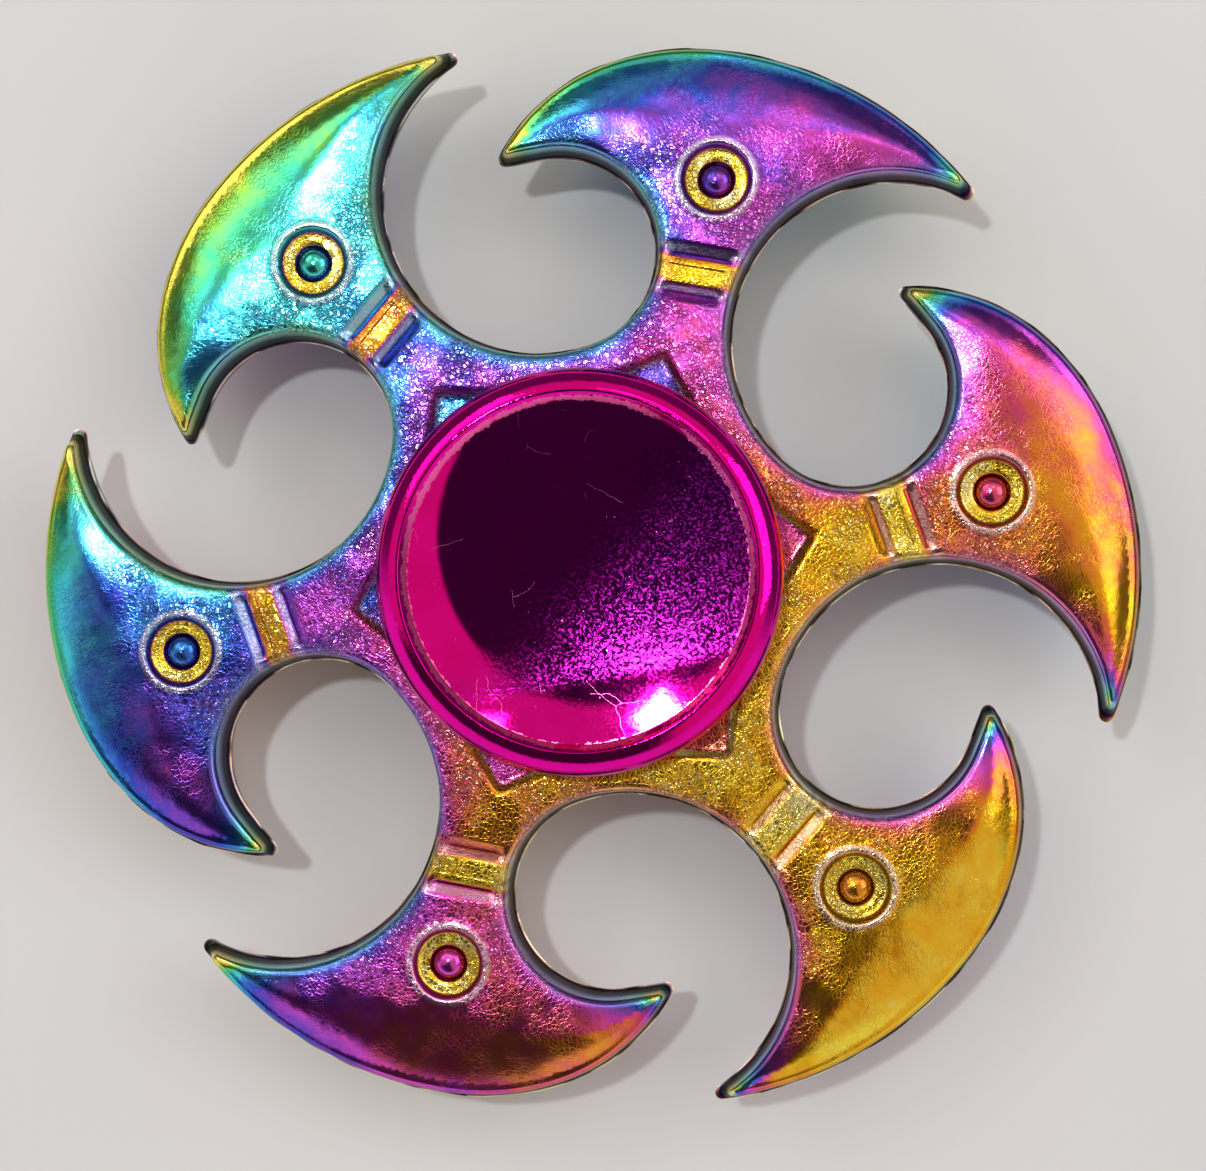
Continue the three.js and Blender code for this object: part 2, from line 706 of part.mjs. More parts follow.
const hub = new THREE.Group();
hub.add(piece("bearing_inner_race", innerRace(), "raceSteel"));
hub.add(piece("upper_cap", upperCap(), "anodised"));
hub.add(piece("lower_cap", lowerCap(), "anodised"));
spinner.add(hub);

export default spinner;
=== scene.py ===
"""Looks of a six-bladed fidget spinner: a rainbow-coated die-cast blade ring on a 608 bearing, held between
two anodised finger caps. Shapes are worked out in millimetres and become metres in make_object()."""

import math

import bpy
import numpy as np
from mathutils import Matrix, Vector, geometry


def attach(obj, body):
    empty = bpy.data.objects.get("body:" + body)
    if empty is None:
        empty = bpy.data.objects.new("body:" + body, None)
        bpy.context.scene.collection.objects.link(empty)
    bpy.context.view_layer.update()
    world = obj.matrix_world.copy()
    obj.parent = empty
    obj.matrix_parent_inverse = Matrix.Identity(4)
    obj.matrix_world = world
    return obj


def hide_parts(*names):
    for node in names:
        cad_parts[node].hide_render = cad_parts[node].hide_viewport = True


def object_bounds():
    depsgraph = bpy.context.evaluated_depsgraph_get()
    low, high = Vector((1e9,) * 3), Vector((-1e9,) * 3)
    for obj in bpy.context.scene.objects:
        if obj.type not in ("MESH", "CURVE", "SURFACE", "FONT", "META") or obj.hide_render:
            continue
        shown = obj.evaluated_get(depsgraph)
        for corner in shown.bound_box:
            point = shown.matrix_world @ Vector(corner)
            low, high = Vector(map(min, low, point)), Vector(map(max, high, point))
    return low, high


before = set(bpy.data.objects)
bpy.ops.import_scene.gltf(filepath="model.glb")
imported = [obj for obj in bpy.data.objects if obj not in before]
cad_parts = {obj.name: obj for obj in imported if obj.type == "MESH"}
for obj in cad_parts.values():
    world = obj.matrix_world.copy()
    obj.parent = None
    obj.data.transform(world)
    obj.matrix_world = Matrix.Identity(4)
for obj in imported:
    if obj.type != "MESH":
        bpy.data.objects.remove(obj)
cad_low, cad_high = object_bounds()

TAU = 2 * math.pi
MM = 0.001

# ----- Sizes in millimetres, in the frame of a blade that points along +X -----

BLADES = 6
SECTOR = TAU / BLADES

# Outline arcs of the blade ring
GAP_BIG, GAP_BIG_R = (19.94, 9.64), 9.53
GAP_SMALL_R, GAP_JOIN = 5.91, math.radians(-142.65)
LIP_R, LIP_JOIN = 40.0, math.radians(26.1)
BACK, BACK_R = (9.91, -2.07), 21.45
BACK_MID_R, BACK_MID_JOIN = 14.28, math.radians(12.2)
BACK_END_R, BACK_END_JOIN = 10.88, math.radians(39.05)
LONG_TIP, SHORT_TIP = (27.5, -14.8), (21.3, 12.4)
NOSE_GROW, NOSE_R = (-0.5, 0.0, 0.32), (0.05, 0.25, 0.42)
EDGE_STEPS = {
    "belly": 76,
    "long": 6,
    "back": 52,
    "mid": 19,
    "end": 23,
    "short": 6,
    "lip": 14,
    "small": 50,
    "foot": 6,
}

# Section of the blade ring
BORE_R = 11.02
HUB_HALF, BLADE_HALF, TIP_HALF, EDGE_HALF = 3.0, 2.65, 2.1, 1.7
HUB_FLAT_R, NECK_END_R = 11.6, 19.0
TIP_FADE = 6.0
CROWN_WIDTH, CROWN_SHARE, SWELL_POWER = 4.7, 0.55, 0.7
GAP_CROWN_WIDTH, GAP_CROWN_DROP = 2.4, 0.12
ON_BLADE, ON_BLADE_GAP = 3.0, 4.0  # length past the neck over which the two crowns set in
FILLET_OUT, FILLET_DOWN, FILLET_STEPS = 0.5, 0.45, 6
WALL_MID, WALL_FOOT = (0.1, 0.55), (0.22, 0.26)
SEAM_OUT, SEAM_HALF, SEAM_ROOT_OUT, SEAM_ROOT_RISE = 0.35, 0.1, 0.02, 1.7

# How far down the wall each ring of corners counts as, from 0 on the face to 1 on the parting line
FILLET_DEPTH, MID_DEPTH, FOOT_DEPTH, SEAM_ROOT_DEPTH, SEAM_DEPTH, BORE_DEPTH = 0.1, 0.5, 0.8, 0.9, 1.0, 0.5

# Cast details
RIVET_U = 23.7
RIVET_R = (
    (0.0, 0.22, 0.44, 0.64, 0.79, 0.89, 0.95, 1.0, 1.05, 1.12)
    + (1.4, 1.66, 1.74, 1.82, 1.92, 2.02, 2.1, 2.2, 2.34, 2.5)
)
RIVET_Z = (
    (-0.06, -0.08, -0.14, -0.24, -0.37, -0.53, -0.66, -0.66, -0.42, -0.36)
    + (-0.35, -0.35, -0.33, -0.26, -0.13, -0.01, 0.035, 0.05, 0.035, 0.0)
)
RIVET_CLEAR = 2.62
NECK, NECK_TILT = (18.5, -0.75), math.radians(8.7)
GROOVE_N = (-2.05, -1.95, -1.45, -0.98, -0.86, 0.05, 0.11, 0.18, 0.5, 0.6, 0.8, 1.42, 1.55)
GROOVE_Z = (0.0, -0.04, -0.36, -0.04, 0.0, 0.0, -0.06, -0.03, -0.11, -0.16, -0.36, -0.04, 0.0)
NECK_LINES = (
    (-2.15, -2.05, -1.95, -1.78, -1.62, -1.45, -1.3, -1.14, -0.98, -0.86, -0.65, -0.4, -0.15)
    + (0.05, 0.11, 0.18, 0.34, 0.5, 0.6, 0.7, 0.8, 0.95, 1.1, 1.26, 1.42, 1.55, 1.65)
)
NECK_REACH = 3.7
GROOVE_FADE, GROOVE_AT_EDGE = 0.4, 0.35  # near the edge of the face the grooves are shallower
CHEVRON_TIP, CHEVRON_BASE_U, CHEVRON_HALF = (13.6, -0.45), 11.4, 2.35
CHEVRON_DEPTH, CHEVRON_WALL, CHEVRON_LIP = 0.45, 0.65, 0.15
CHEVRON_TIP_SHARPNESS = 8
CHEVRON_LINES = (-0.16, -0.03, 0.1, 0.23, 0.36, 0.49)

# Spacing of the mesh
GRID, RIVET_GRID, NECK_GRID = 0.25, 0.17, 0.2
GRID_CLEAR_NECK, GRID_CLEAR_CHEVRON, GRID_CLEAR_EDGE = 0.1, 0.12, 0.13
ROUND_STEPS, RAMP_STEPS = 192, 5


def mix(a, b, t):
    return a + (b - a) * t


def smooth(t):
    t = np.clip(t, 0, 1)
    return t * t * (3 - 2 * t)


# ----- Blade ring outline -----


def along(centre, radius, angle):
    return (centre[0] + radius * math.cos(angle), centre[1] + radius * math.sin(angle))


def angle_to(centre, point):
    return math.atan2(point[1] - centre[1], point[0] - centre[0])


def above(angle, limit):
    return angle + TAU * math.ceil(max(limit - angle, 0) / TAU)


def below(angle, limit):
    return angle - TAU * math.ceil(max(angle - limit, 0) / TAU)


def turned(points, angle):
    points = np.asarray(points, float)
    c, s = math.cos(angle), math.sin(angle)
    x, y = points[..., 0], points[..., 1]
    return np.stack([x * c - y * s, x * s + y * c], -1)


def crossing(c1, r1, c2, r2, near):
    """The crossing of two circles that lies nearest to a point."""
    c1, c2 = np.array(c1), np.array(c2)
    d = np.linalg.norm(c2 - c1)
    a = (r1 * r1 - r2 * r2 + d * d) / (2 * d)
    h = math.sqrt(max(r1 * r1 - a * a, 0))
    way = (c2 - c1) / d
    side = np.array([-way[1], way[0]])
    found = [c1 + way * a + side * h, c1 + way * a - side * h]
    return min(found, key=lambda p: np.linalg.norm(p - near))


GAP_SMALL = along(GAP_BIG, GAP_BIG_R - GAP_SMALL_R, GAP_JOIN)
LIP = along(GAP_SMALL, GAP_SMALL_R - LIP_R, LIP_JOIN)
BACK_MID = along(BACK, BACK_R - BACK_MID_R, BACK_MID_JOIN)
BACK_END = along(BACK_MID, BACK_MID_R - BACK_END_R, BACK_END_JOIN)
GAP_BOTTOM = angle_to(GAP_BIG, (0, 0))


def blade_edge(grow):
    """Edge of a blade and its sixth of the hub, counter-clockwise from one gap's bottom to the next,
    moved out by grow. Returns the points, the outward directions and the name of each point's stretch."""
    nose = np.interp(grow, NOSE_GROW, NOSE_R)
    before = turned(GAP_BIG, -SECTOR)
    long = crossing(BACK, BACK_R + grow - nose, before, GAP_BIG_R - grow + nose, LONG_TIP)
    short = crossing(BACK_END, BACK_END_R + grow - nose, LIP, LIP_R - grow + nose, SHORT_TIP)
    long_from, long_to = angle_to(long, before), angle_to(BACK, long)
    short_from, short_to = angle_to(BACK_END, short), angle_to(short, LIP)
    start = GAP_BOTTOM - SECTOR
    arcs = [
        ("belly", before, GAP_BIG_R - grow, start, below(angle_to(before, long), start), -1),
        ("long", long, nose, long_from, above(long_to, long_from), 1),
        ("back", BACK, BACK_R + grow, long_to, BACK_MID_JOIN, 1),
        ("mid", BACK_MID, BACK_MID_R + grow, BACK_MID_JOIN, BACK_END_JOIN, 1),
        ("end", BACK_END, BACK_END_R + grow, BACK_END_JOIN, short_from, 1),
        ("short", short, nose, short_from, above(short_to, short_from), 1),
        ("lip", LIP, LIP_R - grow, angle_to(LIP, short), LIP_JOIN, -1),
        ("small", GAP_SMALL, GAP_SMALL_R - grow, LIP_JOIN, GAP_JOIN, -1),
        ("foot", GAP_BIG, GAP_BIG_R - grow, GAP_JOIN, GAP_BOTTOM, -1),
    ]
    points, ways, names = [], [], []
    for name, centre, radius, first, last, side in arcs:
        steps = EDGE_STEPS[name]
        stations = np.linspace(first, last, steps + 1)
        if name != "foot":
            stations = stations[:-1]
        for a in stations:
            points.append(along(centre, radius, a))
            ways.append((side * math.cos(a), side * math.sin(a)))
            names.append(name)
    return np.array(points), np.array(ways), np.array(names)


EDGE, EDGE_WAYS, EDGE_NAMES = blade_edge(0)
BACK_EDGE = EDGE[np.isin(EDGE_NAMES, ("back", "mid", "end"))]
GAP_EDGE = EDGE[~np.isin(EDGE_NAMES, ("back", "mid", "end"))]
TIPS = np.array([EDGE[EDGE_NAMES == "long"].mean(0), EDGE[EDGE_NAMES == "short"].mean(0)])


def nearest(points, others):
    """Distance from each point to the nearest of the others, and which one that is."""
    gaps = np.linalg.norm(points[:, None, :] - others[None, :, :], axis=2)
    which = gaps.argmin(1)
    return gaps[np.arange(len(points)), which], which


BACK_SWELL = np.sin(np.pi * (np.arange(len(BACK_EDGE)) + 1) / (len(BACK_EDGE) + 1)) ** SWELL_POWER
BACK_REACH = np.maximum(np.minimum(CROWN_WIDTH, CROWN_SHARE * nearest(BACK_EDGE, GAP_EDGE)[0]), 0.05)


def inside(points, polygon):
    """True for each point that lies inside the closed polygon."""
    x, y = points[:, 0][:, None], points[:, 1][:, None]
    ax, ay = polygon[:, 0], polygon[:, 1]
    bx, by = np.roll(ax, -1), np.roll(ay, -1)
    spans = (ay > y) != (by > y)
    rise = np.where(by == ay, 1, by - ay)
    hits = spans & (x < ax + (y - ay) * (bx - ax) / rise)
    return hits.sum(1) % 2 == 1


# ----- Height of the upper face, in the frame of a blade -----


def chevron_depth(points):
    """How far each point is inside the three-cornered pocket: 0 outside it, 1 on its floor."""
    tip, base = np.array(CHEVRON_TIP), CHEVRON_BASE_U
    gaps = []
    for side in (1, -1):
        corner = np.array([base, tip[1] + side * CHEVRON_HALF])
        way = (corner - tip) / np.linalg.norm(corner - tip)
        normal = np.array([-way[1], way[0]]) * -side
        gaps.append((points - tip) @ normal)
    sharp = CHEVRON_TIP_SHARPNESS
    inner = -np.logaddexp(gaps[0] * sharp, gaps[1] * sharp) / sharp
    return smooth((inner + CHEVRON_LIP) / CHEVRON_WALL)


def neck_place(points):
    """Place along and across the neck bar of each point."""
    away = points - np.array(NECK)
    c, s = math.cos(NECK_TILT), math.sin(NECK_TILT)
    return away[:, 0] * c + away[:, 1] * s, -away[:, 0] * s + away[:, 1] * c


def face_height(points, edge_gap):
    """Height of the cast face. edge_gap is each point's distance to the edge of the face."""
    r = np.linalg.norm(points, axis=1)
    plate = mix(HUB_HALF, BLADE_HALF, smooth((r - HUB_FLAT_R) / (NECK_END_R - HUB_FLAT_R)))
    tip_gap, _ = nearest(points, TIPS)
    plate = mix(TIP_HALF, plate, smooth(tip_gap / TIP_FADE))
    back_gap, which = nearest(points, BACK_EDGE)
    outer = mix(TIP_HALF, EDGE_HALF, BACK_SWELL[which])
    slope = 1 - np.clip((back_gap - FILLET_OUT) / BACK_REACH[which], 0, 1)
    on_blade = smooth((r - NECK_END_R) / ON_BLADE)
    z = mix(plate, outer, slope**2 * on_blade)
    gap_gap, _ = nearest(points, GAP_EDGE)
    gap_slope = 1 - np.clip((gap_gap - FILLET_OUT) / GAP_CROWN_WIDTH, 0, 1)
    on_gap_side = smooth((r - NECK_END_R) / ON_BLADE_GAP) * smooth(tip_gap / TIP_FADE)
    z -= GAP_CROWN_DROP * gap_slope**2 * on_gap_side
    away = np.linalg.norm(points - np.array([RIVET_U, 0]), axis=1)
    z += np.interp(away, RIVET_R, RIVET_Z)
    n, s = neck_place(points)
    groove = np.interp(n, GROOVE_N, GROOVE_Z) * (np.abs(s) < NECK_REACH)
    z += groove * mix(GROOVE_AT_EDGE, 1, smooth(edge_gap / GROOVE_FADE))
    return z - CHEVRON_DEPTH * chevron_depth(points)


# ----- Blade ring mesh -----


def face_points(border):
    """Points inside a blade's part of the face: an even grid, and closer points that follow the details."""
    low, high = border.min(0), border.max(0)
    rows = np.arange(low[1], high[1], GRID * math.sqrt(0.75))
    columns = np.arange(low[0], high[0], GRID)
    grid = np.array([(x + GRID / 2 * (i % 2), y) for i, y in enumerate(rows) for x in columns])

    rings = [[(RIVET_U, 0.0)]]
    for r in RIVET_R[1:]:
        count = max(10, round(TAU * r / RIVET_GRID))
        a = TAU * np.arange(count) / count
        rings.append(np.column_stack([RIVET_U + r * np.cos(a), r * np.sin(a)]))
    rivet = np.vstack(rings)

    across = np.arange(-NECK_REACH, NECK_REACH, NECK_GRID)
    flat = np.array([(n, s) for n in NECK_LINES for s in across])
    neck = turned(flat, NECK_TILT) + np.array(NECK)

    tip = np.array(CHEVRON_TIP)
    chevron = []
    for side in (1, -1):
        corner = np.array([CHEVRON_BASE_U, tip[1] + side * CHEVRON_HALF])
        way = corner - tip
        normal = np.array([way[1], -way[0]]) * side / np.linalg.norm(way)
        for offset in CHEVRON_LINES:
            t = np.arange(0.02, 1, 0.07)
            line = tip + t[:, None] * way - normal * offset
            chevron.append(line[side * (line[:, 1] - tip[1]) > 0])
    chevron = np.vstack(chevron)

    n, s = neck_place(grid)
    beside = (n < NECK_LINES[0] - GRID_CLEAR_NECK) | (n > NECK_LINES[-1] + GRID_CLEAR_NECK)
    clear_neck = beside | (np.abs(s) > NECK_REACH)
    clear_rivet = np.linalg.norm(grid - np.array([RIVET_U, 0]), axis=1) > RIVET_CLEAR
    clear_chevron = nearest(grid, chevron)[0] > GRID_CLEAR_CHEVRON
    points = np.vstack([grid[clear_neck & clear_rivet & clear_chevron], rivet, neck, chevron])
    dense = densified(border, 0.08)
    return points[inside(points, border) & (nearest(points, dense)[0] > GRID_CLEAR_EDGE)]


def densified(loop, step):
    """Points along a closed loop, no further apart than step."""
    made = []
    for a, b in zip(loop, np.roll(loop, -1, axis=0)):
        count = max(1, math.ceil(np.linalg.norm(b - a) / step))
        made.append(a + (b - a) * (np.arange(count) / count)[:, None])
    return np.vstack(made)


def blade_sector():
    """One sixth of the upper half of the blade ring: corners, triangles, and for each corner the outward
    direction and how far down the wall it is (0 on the face, 1 on the parting line)."""
    face_edge, _, _ = blade_edge(-FILLET_OUT)
    first, last = angle_to((0, 0), face_edge[0]), angle_to((0, 0), face_edge[-1])
    bore_angles = np.linspace(last, first, ROUND_STEPS // BLADES + 1)
    bore = BORE_R * np.column_stack([np.cos(bore_angles), np.sin(bore_angles)])
    ramp = (np.arange(1, RAMP_STEPS) / RAMP_STEPS)[:, None]
    way_in, way_out = mix(face_edge[-1], bore[0], ramp), mix(bore[-1], face_edge[0], ramp)
    border = np.vstack([face_edge, way_in, bore, way_out])
    points = np.vstack([border, face_points(border)])
    count = len(border)
    loop = [(i, (i + 1) % count) for i in range(count)]
    found = geometry.delaunay_2d_cdt([Vector(p) for p in points], loop, [], 1, 1e-5)
    points = np.array([tuple(p) for p in found[0]])
    triangles = [tuple(t) for t in found[2]]
    origin = [min(o) if o else -1 for o in found[3]]
    place = {o: i for i, o in enumerate(origin)}

    edge_gap, _ = nearest(points, densified(face_edge, 0.15)[:-1])
    z = face_height(points, edge_gap)
    corners = [(*p, h) for p, h in zip(points, z)]
    ways = [(0.0, 0.0)] * len(corners)
    depth = [0.0] * len(corners)

    ring = [place[i] for i in range(len(face_edge))]
    top = z[ring]
    profile = []
    for i in range(1, FILLET_STEPS + 1):
        a = math.pi / 2 * (1 - i / FILLET_STEPS)
        drop = FILLET_DOWN * (1 - math.sin(a))
        profile.append((-FILLET_OUT * (1 - math.cos(a)), lambda h, drop=drop: h - drop, FILLET_DEPTH))
    seam_root = WALL_FOOT[0] + SEAM_ROOT_OUT
    profile += [
        (WALL_MID[0], lambda h: mix(h - FILLET_DOWN, WALL_FOOT[1], WALL_MID[1]), MID_DEPTH),
        (WALL_FOOT[0], lambda h: np.full_like(h, WALL_FOOT[1]), FOOT_DEPTH),
        (seam_root, lambda h: np.full_like(h, SEAM_HALF * SEAM_ROOT_RISE), SEAM_ROOT_DEPTH),
        (SEAM_OUT, lambda h: np.full_like(h, SEAM_HALF), SEAM_DEPTH),
        (SEAM_OUT, lambda h: np.zeros_like(h), SEAM_DEPTH),
    ]
    for grow, height, down in profile:
        edge, way, _ = blade_edge(grow)
        new = list(range(len(corners), len(corners) + len(edge)))
        corners += [(*p, h) for p, h in zip(edge, height(top))]
        ways += [tuple(w) for w in way]
        depth += [down] * len(edge)
        for i in range(len(edge) - 1):
            triangles += [(ring[i], new[i], new[i + 1]), (ring[i], new[i + 1], ring[i + 1])]
        ring = new
    start = len(face_edge) + RAMP_STEPS - 1
    bore_ring = [place[i] for i in range(start, start + len(bore))]
    new = list(range(len(corners), len(corners) + len(bore)))
    corners += [(*p, 0.0) for p in bore]
    ways += [(0.0, 0.0)] * len(bore)
    depth += [BORE_DEPTH] * len(bore)
    for i in range(len(bore) - 1):
        triangles += [(bore_ring[i], new[i], new[i + 1]), (bore_ring[i], new[i + 1], bore_ring[i + 1])]
    return np.array(corners), np.array(triangles), np.array(ways), np.array(depth)


WELD, WELD_SHIFT = 1e-3, 0.3171  # corners closer than WELD, in millimetres, become one corner


def whole_ring():
    """The blade ring from its sixths. Returns corners, triangles, and for each corner its place in its
    blade's frame, outward direction, depth down the wall and side (1 above the parting line, -1 below)."""
    corners, triangles, ways, depth = blade_sector()
    copies = [(k, side) for k in range(BLADES) for side in (1, -1)]
    flat, height = corners[:, :2], corners[:, 2]
    placed = [np.column_stack([turned(flat, k * SECTOR), height * side]) for k, side in copies]
    turned_ways = [turned(ways, k * SECTOR) for k, _ in copies]
    faces = [triangles[:, ::side] + i * len(corners) for i, (_, side) in enumerate(copies)]
    sides = np.repeat([side for _, side in copies], len(corners))
    everything = np.vstack(placed)
    keys = np.round(everything / WELD + WELD_SHIFT).astype(np.int64)
    _, first, back = np.unique(keys, axis=0, return_index=True, return_inverse=True)
    return (
        everything[first],
        back.ravel()[np.vstack(faces)],
        np.tile(flat, (len(copies), 1))[first],
        np.vstack(turned_ways)[first],
        np.tile(depth, len(copies))[first],
        sides[first],
    )


def ripple(points, size, seed, waves=36):
    """A smooth random height with bumps about size across and a spread of 1, at each point."""
    random = np.random.default_rng(seed)
    way = random.uniform(0, TAU, waves)
    count = TAU / (size * random.uniform(0.75, 1.6, waves))
    phase = random.uniform(0, TAU, waves)
    total = np.zeros(len(points))
    for w, c, p in zip(way, count, phase):
        total += np.sin(points[:, 0] * c * math.cos(w) + points[:, 1] * c * math.sin(w) + p)
    return total * math.sqrt(2 / waves)


# Film thickness, from 0 for pale gold through pink and blue to 1 for yellow-green. It grows towards the
# source, past THICK_FROM millimetres faster still, and differs a little from blade to blade, from +X round.
HUB_FILM, BLADE_FILM, BLADE_FILM_FROM = 0.27, 0.38, 15.0
FILM_SOURCE = {1: math.radians(124), -1: math.radians(50)}  # its direction, on the upper and the lower face
FILM_SPREAD_R, FILM_SPREAD = (0, 14, 22, 31), (0, 0.22, 0.28, 0.30)
THICK_FROM, THICKER = 15.0, 0.0005
ONE_BLADE_FILM = (0.0, -0.06, -0.01, 0.0, 0.06, 0.03)
THINNEST = 0.10

# What the edges, the tips and the cast details add to it or have instead
RIM_FILM, RIM_FILM_LEAN, GAP_RIM, BACK_RIM, BACK_RIM_SHARE = 0.21, 0.14, 0.5, 0.45, 0.8
TIP_FILM, TIP_REACH = 0.5, 1.1
BACK_FILM, BACK_FILM_REACH = 0.10, 3.2
DOME_FILM, FLOOR_FILM, SEAM_FILM = 0.07, 0.05, 0.02
BAR_FILM_SHARE, GROOVE_FILM = 0.32, 0.06
CHEVRON_FILM, CHEVRON_WALL_FILM = 0.14, 0.06

# Rings round a rivet by radius, and strips along a neck by the place along it: start, full, full, end
EYE, POCKET_FLOOR = (0.88, 0.94, 1.0, 1.06), (1.02, 1.1, 1.74, 1.84)
POCKET_WALL, POCKET_RIM = (1.76, 1.84, 1.96, 2.04), (2.04, 2.12, 2.3, 2.5)
BAR = (-1.0, -0.88, 0.52, 0.62)
GROOVES = (-2.0, -1.9, -1.0, -0.88), (0.52, 0.62, 1.42, 1.52)
GROOVE_WALLS = (-1.42, -1.34, -1.05, -0.96), (0.84, 0.92, 1.32, 1.42)
BAR_CREASES, GROOVE_CREASE = ((0.05, 0.11, 0.17), (-1.55, -1.45, -1.35)), (0.72, 0.8, 0.88)
CHEVRON_RIM = (0.80, 0.92, 0.97, 0.995)

# How dark the painted shade makes each, and how strongly each is painted with a pale highlight
EYE_SHADE, POCKET_WALL_SHADE, CREASE_SHADE, CHEVRON_SHADE = 0.85, 0.72, 0.5, 0.30
WALL_SHADE, SEAM_SHADE = 0.05, 0.1
POCKET_RIM_HIGHLIGHT, GAP_EDGE_HIGHLIGHT, GROOVE_WALL_HIGHLIGHT, CHEVRON_RIM_HIGHLIGHT, SEAM_HIGHLIGHT = 0.45, 0.25, 0.30, 0.5, 0.5


def band(value, edges):
    """1 between the middle two edges, falling to 0 at the outer two."""
    return np.interp(value, edges, (0, 1, 1, 0))


def peak(value, edges):
    """1 at the middle edge, falling to 0 at the outer two."""
    return np.interp(value, edges, (0, 1, 0))


def film_values(corners, local, depth, sides):
    """Film thickness, painted shade (1 on the faces, less down the walls and in the pockets and creases),
    cast (1 where the hammered skin shows) and painted highlight (more on the gap rims, groove walls, pocket
    rims, chevron rims and the parting line)."""
    x, y = corners[:, 0], corners[:, 1]
    r = np.linalg.norm(local, axis=1)
    turn = np.arctan2(y, x) - np.arctan2(local[:, 1], local[:, 0])
    blade = np.round(turn / SECTOR).astype(int) % BLADES
    source = np.array([FILM_SOURCE[s] for s in sides])
    towards = r * np.cos(np.arctan2(y, x) - source)
    body = mix(HUB_FILM, BLADE_FILM, smooth((r - BLADE_FILM_FROM) / 6))
    body += np.interp(r, FILM_SPREAD_R, FILM_SPREAD) * towards / r
    body += THICKER * np.maximum(towards - THICK_FROM, 0) ** 2
    body += np.array(ONE_BLADE_FILM)[blade] * smooth((r - 17) / 4)
    body = np.maximum(body, THINNEST)
    film = body.copy()

    tip_gap, _ = nearest(local, TIPS)
    back_gap, _ = nearest(local, BACK_EDGE)
    gap_gap, _ = nearest(local, GAP_EDGE)
    _, which = nearest(local, EDGE)
    facing = np.cos(np.arctan2(EDGE_WAYS[which, 1], EDGE_WAYS[which, 0]) + turn - source)
    rim = np.exp(-gap_gap / GAP_RIM) + BACK_RIM_SHARE * np.exp(-back_gap / BACK_RIM)
    film += (RIM_FILM + RIM_FILM_LEAN * facing) * rim + TIP_FILM * np.exp(-tip_gap / TIP_REACH)
    along_back = np.exp(-back_gap / BACK_FILM_REACH) * smooth((r - NECK_END_R) / 3)
    film += BACK_FILM * (1 + facing) * along_back

    away = np.linalg.norm(local - np.array([RIVET_U, 0]), axis=1)
    film += DOME_FILM * np.interp(away, (0.8, 1.0), (1, 0))
    film = mix(film, FLOOR_FILM, band(away, POCKET_FLOOR))
    # Painted shade on the rivet pocket's wall and on the eye round the dome.
    painted_shade = 1 - POCKET_WALL_SHADE * band(away, POCKET_WALL)
    painted_shade *= 1 - EYE_SHADE * band(away, EYE)
    # Painted highlight on the raised rim round the rivet pocket and along the gap edges.
    painted_highlight = POCKET_RIM_HIGHLIGHT * band(away, POCKET_RIM) + GAP_EDGE_HIGHLIGHT * np.exp(-gap_gap / 0.25)

    n, _ = neck_place(local)
    on_neck = np.abs(r - NECK[0]) < 3.2
    groove = sum(band(n, edges) for edges in GROOVES) * on_neck
    film = mix(film, body + GROOVE_FILM, groove)
    film = mix(film, BAR_FILM_SHARE * body, band(n, BAR) * on_neck)
    # Painted highlight on the lit walls of the neck grooves.
    painted_highlight += GROOVE_WALL_HIGHLIGHT * sum(band(n, edges) for edges in GROOVE_WALLS) * on_neck
    # Painted shade in the creases beside the neck bar and in the groove.
    crease = sum(peak(n, edges) for edges in BAR_CREASES) + peak(n, GROOVE_CREASE)
    painted_shade *= 1 - CREASE_SHADE * np.minimum(crease, 1) * on_neck

    pocket = chevron_depth(local)
    on_floor = smooth((pocket - 0.6) / 0.4)
    on_wall = smooth(pocket * 4) * (1 - smooth((pocket - 0.6) / 0.3))
    film += CHEVRON_FILM * on_floor - CHEVRON_WALL_FILM * on_wall
    # Painted shade on the chevron pocket's wall, and a painted highlight along the rim of its floor.
    painted_shade *= 1 - CHEVRON_SHADE * smooth(pocket * 4) * (1 - smooth((pocket - 0.75) / 0.25))
    painted_highlight += CHEVRON_RIM_HIGHLIGHT * band(pocket, CHEVRON_RIM)

    wall = np.interp(depth, (0.1, 0.4), (0, 1))
    seam = np.interp(depth, (0.9, 0.99), (0, 1))
    broken = smooth(ripple(corners, 2.2, 41) + 0.9)
    # Painted shade darkens the walls; on the parting line it is lifted back towards full brightness in
    # broken stretches, with a painted highlight on them.
    painted_shade = mix(painted_shade, WALL_SHADE, wall)
    painted_shade = mix(painted_shade, SEAM_SHADE + (1 - SEAM_SHADE) * broken, seam)
    film = mix(film, SEAM_FILM, seam)
    painted_highlight += SEAM_HIGHLIGHT * seam * broken
    cast = 1 - 0.8 * smooth((back_gap - 7.2) / -3.2) * smooth((r - NECK_END_R) / 2)
    cast *= 1 - 0.7 * wall
    cast *= 1 - 0.6 * groove
    cast *= 1 - 0.7 * np.interp(away, (0.9, 1.05), (1, 0))
    return film, painted_shade, cast, painted_highlight


PEBBLE, PEBBLE_DEPTH, SWELL, SWELL_DEPTH = 0.9, 0.006, 3.1, 0.010  # unevenness of the casting
FLASH_SIZE, FLASH_DEPTH = 2.6, 0.02  # raggedness of the parting line


def relief(corners, depth, sides, cast):
    """How far the cast skin stands off the even surface."""
    hammered = np.zeros(len(corners))
    for side, seed in ((1, 11), (-1, 12)):
        here = sides == side
        points = corners[here, :2]
        pebbles = np.abs(ripple(points, PEBBLE, seed)) - 0.8
        swells = ripple(points, SWELL, seed + 20)
        hammered[here] = PEBBLE_DEPTH * cast[here] * pebbles + SWELL_DEPTH * swells
    return hammered * sides * np.interp(depth, (0, 0.3), (1, 0))


# ----- Turned and stamped pieces -----


